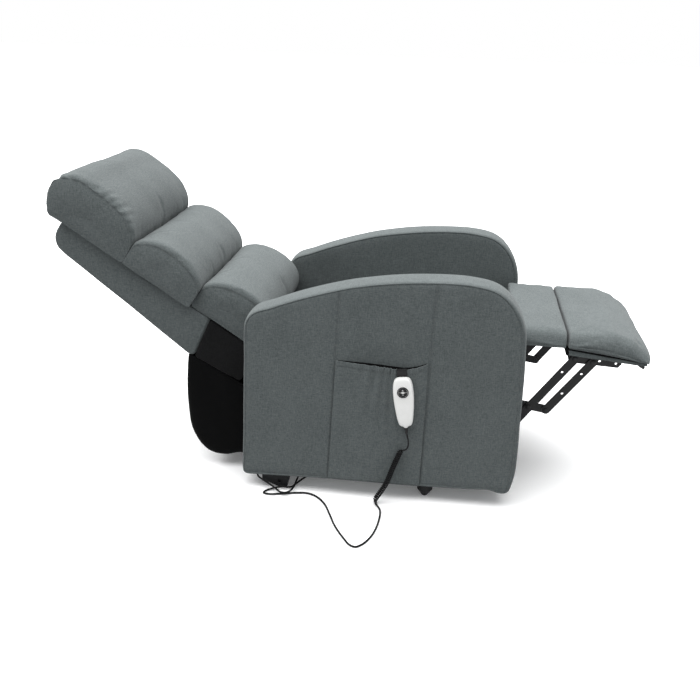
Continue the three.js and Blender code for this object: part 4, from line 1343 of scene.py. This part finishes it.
# One button is half a disc, with a notch for the mark at the keypad's middle. The other is its mirror.
half_start = math.asin(BUTTON_GAP / BUTTON_R)
half_angles = np.linspace(half_start, math.pi - half_start, 25)
half_arc = BUTTON_R * np.column_stack([np.cos(half_angles), np.sin(half_angles)])
NOTCH_SIDE = [
    (BUTTON_NOTCH + 1.5, BUTTON_GAP), (BUTTON_NOTCH, BUTTON_GAP),
    (BUTTON_NOTCH * 0.5, BUTTON_GAP + BUTTON_NOTCH * 0.36),
]
notch_line = [*[(-y, z) for y, z in NOTCH_SIDE], (0, BUTTON_GAP + BUTTON_NOTCH * 0.72), *NOTCH_SIDE[::-1]]
HALF_MOON = np.vstack([half_arc, notch_line])
HALF_MOON_MIDDLE = np.array([0, 6.2])
BUTTON_STEPS = (
    (0.55, 0.2), (0.99, 0.2), (1.0, 0.6), (1.0, 2.4), (0.975, 3.0), (0.92, 3.3), (0.75, 3.1), (0.5, 2.8),
    (0.2, 2.7),
)
ARROW = np.array([(-2.4, 5.6), (0, 8.8), (2.4, 5.6), (0, 6.5)])
ARROW_STEPS = ((0.5, 2.4), (1, 2.5), (1, 3.0), (0.86, 3.12), (0.4, 3.12))
for name, sign in (("up", 1), ("down", -1)):
    flip = np.array([1, sign])
    moon = spaced(HALF_MOON * flip, 72, closed=True)
    button = on_keypad(name + "_button", BLACK, moon, HALF_MOON_MIDDLE * flip, BUTTON_STEPS)
    settle(button, name + "_key", "black_plastic", "button_" + name)
    arrow = spaced(rounded(ARROW * flip, 0.5), 28, closed=True)
    mark = on_keypad(name + "_button_arrow", LEGEND, arrow, arrow.mean(0), ARROW_STEPS)
    settle(mark, name + "_key", "white_plastic")

DIAMOND = [(-12.4, 0), (-5.2, 0.8), (0, 4.9), (5.2, 0.8), (12.4, 0), (5.2, -0.8), (0, -4.9), (-5.2, -0.8)]
diamond = spaced(rounded(DIAMOND, 0.6), 60, closed=True)
DIAMOND_STEPS = ((0.4, 0.1), (1, 0.2), (1, 2.0), (0.9, 2.3), (0.3, 2.3))
settle(on_keypad("keypad_mark", WHITE, diamond, np.zeros(2), DIAMOND_STEPS), "chassis", "white_plastic")

# The hook is one bent strip: down the case's top, over the pocket's mouth, and down inside it.
HOOK_HALF, HOOK_T = 13.6, 1.9
HOOK_PATH = [
    (-362, 62), (-362, 70), (-362, 84), (-361.4, 89.5), (-358.5, 91.5), (-355, 91.5), (-352.6, 89.5),
    (-352.3, 82), (-352, 70),
]
hook_line = spaced(spline(HOOK_PATH), 40)
hook_way = unit(np.gradient(hook_line, axis=0))
hook_out = np.column_stack([hook_way[:, 1], -hook_way[:, 0]]) * HOOK_T / 2
section = spaced(rounded([(-1, -1), (1, -1), (1, 1), (-1, 1)], 0.35), 24, closed=True)
rings = []
for i, (p, n) in enumerate(zip(hook_line, hook_out)):
    half = HOOK_HALF * min(1, 0.7 + 0.12 * min(i, len(hook_line) - 1 - i))
    rings.append([(p[0] + n[0] * b, a * half, p[1] + n[1] * b) for a, b in section])
points, faces = loft(np.array(rings))
hook = mesh("handset_hanger", on_handset(points), faces, BLACK)
settle(hook, "chassis", "black_plastic", "handset_hook")

GLAND = [
    (0, 3.0), (0.4, 5.0), (3, 5.4), (4.4, 5.2), (5, 4.5), (6, 4.5), (7, 4.9), (8, 4.4), (9, 4.4), (10, 4.7),
    (11, 4.2), (12, 4.2), (13, 4.5), (14, 4.0), (15.6, 4.0), (16.6, 4.3), (17.6, 3.7), (19.5, 3.4),
    (20.5, 2.6),
]
gland_top, gland_end = on_handset([(HANDSET_MID_X, 0, -73.2), (HANDSET_MID_X, 0, -92)])
gland = mesh("handset_strain_relief", *turned(GLAND, gland_top, gland_end - gland_top, 18), BLACK)
settle(gland, "chassis", "black_plastic", "handset_gland")

# ---------- dust cover ----------
COVER_CURVE = [
    (588, 358), (597, 295), (599, 219), (597, 172), (591, 124), (577, 85), (555, 55), (526, 38), (487, 33),
    (458, 40), (442, 44), (420, 42), (397, 50),
]
COVER_EDGE = [(588, 358), (562, 346), (442, 282), (392, 253)]
COVER_HALF, COVER_ROWS, COVER_ACROSS = 243.0, 70, 110
COVER_T = 1.4
COVER_MIDDLE = np.array([0, 470.0, 200.0])


def cover_mesh():
    """Hanging cloth: a row runs from one side panel round the back to the other."""
    curve = spaced(spline(COVER_CURVE), COVER_ROWS + 1)
    edge = spaced(spline(COVER_EDGE), COVER_ROWS + 1)
    rows = []
    for c, e in zip(curve, edge):
        tuck, drop = (0.5, 3) if np.linalg.norm(c - e) < 3 else (0, 0)
        half, y, z = COVER_HALF - tuck, c[0], c[1] - drop
        path = [(-COVER_HALF, *e), (-half, y, z), (half, y, z), (COVER_HALF, *e)]
        rows.append(spaced(rounded(path, 26, closed=False), COVER_ACROSS + 1))
    outer = np.vstack(rows)
    slack = np.repeat(np.sin(np.linspace(0, math.pi, COVER_ROWS + 1)), COVER_ACROSS + 1)
    away = unit(outer - COVER_MIDDLE)
    wrinkle = ripple(outer * [1, 1, 0.35], 90, 2.2, 71) + ripple(outer * [1, 0.6, 0.6], 40, 0.8, 73)
    outer = outer + away * ((wrinkle - 2.0) * slack)[:, None]
    faces, _ = sheet_faces(COVER_ROWS + 1, COVER_ACROSS + 1)
    grid = outer.reshape(COVER_ROWS + 1, COVER_ACROSS + 1, 3)
    cells = np.cross(grid[1:, :-1] - grid[:-1, :-1], grid[:-1, 1:] - grid[:-1, :-1])
    return np.vstack([outer, outer - away * COVER_T]), faces, float(np.linalg.norm(cells, axis=2).sum()) / 1e6


cover_points, cover_faces, cover_area = cover_mesh()
cover = mesh("dust_cover_cloth", cover_points, cover_faces, DUST_CLOTH)
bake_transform(cover)
settle(cover, None, "black_fabric", "dust_cover")

# ---------- steel, wood and plastic from the frame ----------
def paired(*names):
    return [f"{name}_{side}" for name in names for side in "LR"]


STEEL_PAIRS = (
    "foot_rear", "side_plate", "back_bracket", "link_rear", "link_front", "link_outer", "link_inner",
    "footrest_bracket",
)
FINISH = {
    PAINT: ["base_frame", "torque_tube", *paired(*STEEL_PAIRS)],
    ZINC: ["lift_shaft", "motor_bar", "motor_rod", "seat_spring_1", "seat_spring_2", "seat_spring_3"],
    WOOD: ["front_rail", "rear_rail", *paired("side_rail")],
    BLACK: ["motor_housing", "control_box", *paired("foot_front", "glide_front", "glide_rear")],
}
for finish, names in FINISH.items():
    for name in names:
        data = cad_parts[name].data
        data.materials.clear()
        data.materials.append(finish)

# Rivet heads on the pivots, each on the body of the link that carries it.
INSIDE, OUTSIDE = (-1, 196.8), (1, 208.3)  # which way a head looks, and the face that it sits on
PIVOTS = {
    "rear_links": (INSIDE, 9.0, [(-239, 279)]),
    "outer_links": (OUTSIDE, 8.2, [(-395.5, 257), (-509.5, 411), (-368.3, 215)]),
    "inner_links": (OUTSIDE, 8.2, [(-445, 250), (-559, 404)]),
}
RIVET = [
    (0, 0.3), (0.0, 1.0), (0.6, 1.0), (0.7, 0.78), (0.9, 0.74), (1.3, 0.66), (1.7, 0.45), (1.8, 0.15)
]
for body, ((way, x), radius, spots) in PIVOTS.items():
    profile = [(d, radius * r) for d, r in RIVET]
    parts = [turned(profile, (side * x, *spot), (side * way, 0, 0), 20) for spot in spots for side in (-1, 1)]
    settle(mesh(body + "_rivets", *joined(parts), PAINT), body, "black_steel")

# The small rubber buffer under each front corner of the footrest board.
BUFFER = [(-3, 4.5), (-2, 6.2), (4, 6.4), (9, 5.2), (13, 4.4), (15.5, 4.0), (16.3, 2.2)]
BUFFER_X, BUFFER_AT, BUFFER_WAY = 232.0, (-680.0, 417.0), (0, -11.0, -9.5)
parts = [turned(BUFFER, (side * BUFFER_X, *BUFFER_AT), BUFFER_WAY, 16) for side in (-1, 1)]
settle(mesh("footrest_buffers", *joined(parts), BLACK), "footrest", "black_plastic")

# ---------- floor, light ----------
FLOOR_HALF, FLOOR_AT = 30, -0.0006
floor_mat, _, floor_shader = material("floor_pale")
set_inputs(floor_shader, Base_Color=(0.95, 0.95, 0.95, 1), Roughness=0.9, Specular_IOR_Level=0.1)
set_inputs(floor_shader, Emission_Color=(1, 1, 1, 1), Emission_Strength=0.10)
floor_data = bpy.data.meshes.new("floor")
floor_corners = [(a * FLOOR_HALF, b * FLOOR_HALF, FLOOR_AT) for a, b in ((-1, -1), (1, -1), (1, 1), (-1, 1))]
floor_data.from_pydata(floor_corners, [], [(0, 1, 2, 3)])
floor_data.materials.append(floor_mat)
floor = link(bpy.data.objects.new("floor", floor_data))
floor.visible_diffuse = False

sun_data = bpy.data.lights.new("light_dome", "SUN")
sun_data.energy = 6.35
sun_data.angle = math.radians(95)
sun = link(bpy.data.objects.new("light_dome", sun_data))
sun.rotation_euler = (math.radians(-8), math.radians(10), 0)

world = bpy.data.worlds.new("world")
world.use_nodes = True
tree = world.node_tree
coord = tree.nodes.new("ShaderNodeTexCoord").outputs["Generated"]
split = tree.nodes.new("ShaderNodeSeparateXYZ")
tree.links.new(coord, split.inputs[0])
height = math_node(tree, "ABSOLUTE", split.outputs["Z"])
sky = ramp(tree, height, [(0.05, (1.0, 1.0, 1.0)), (0.16, (0.54, 0.55, 0.56))])
tree.links.new(sky, tree.nodes["Background"].inputs["Color"])
tree.nodes["Background"].inputs["Strength"].default_value = 1.0
bpy.context.scene.world = world
bpy.context.scene.view_settings.view_transform = "Standard"
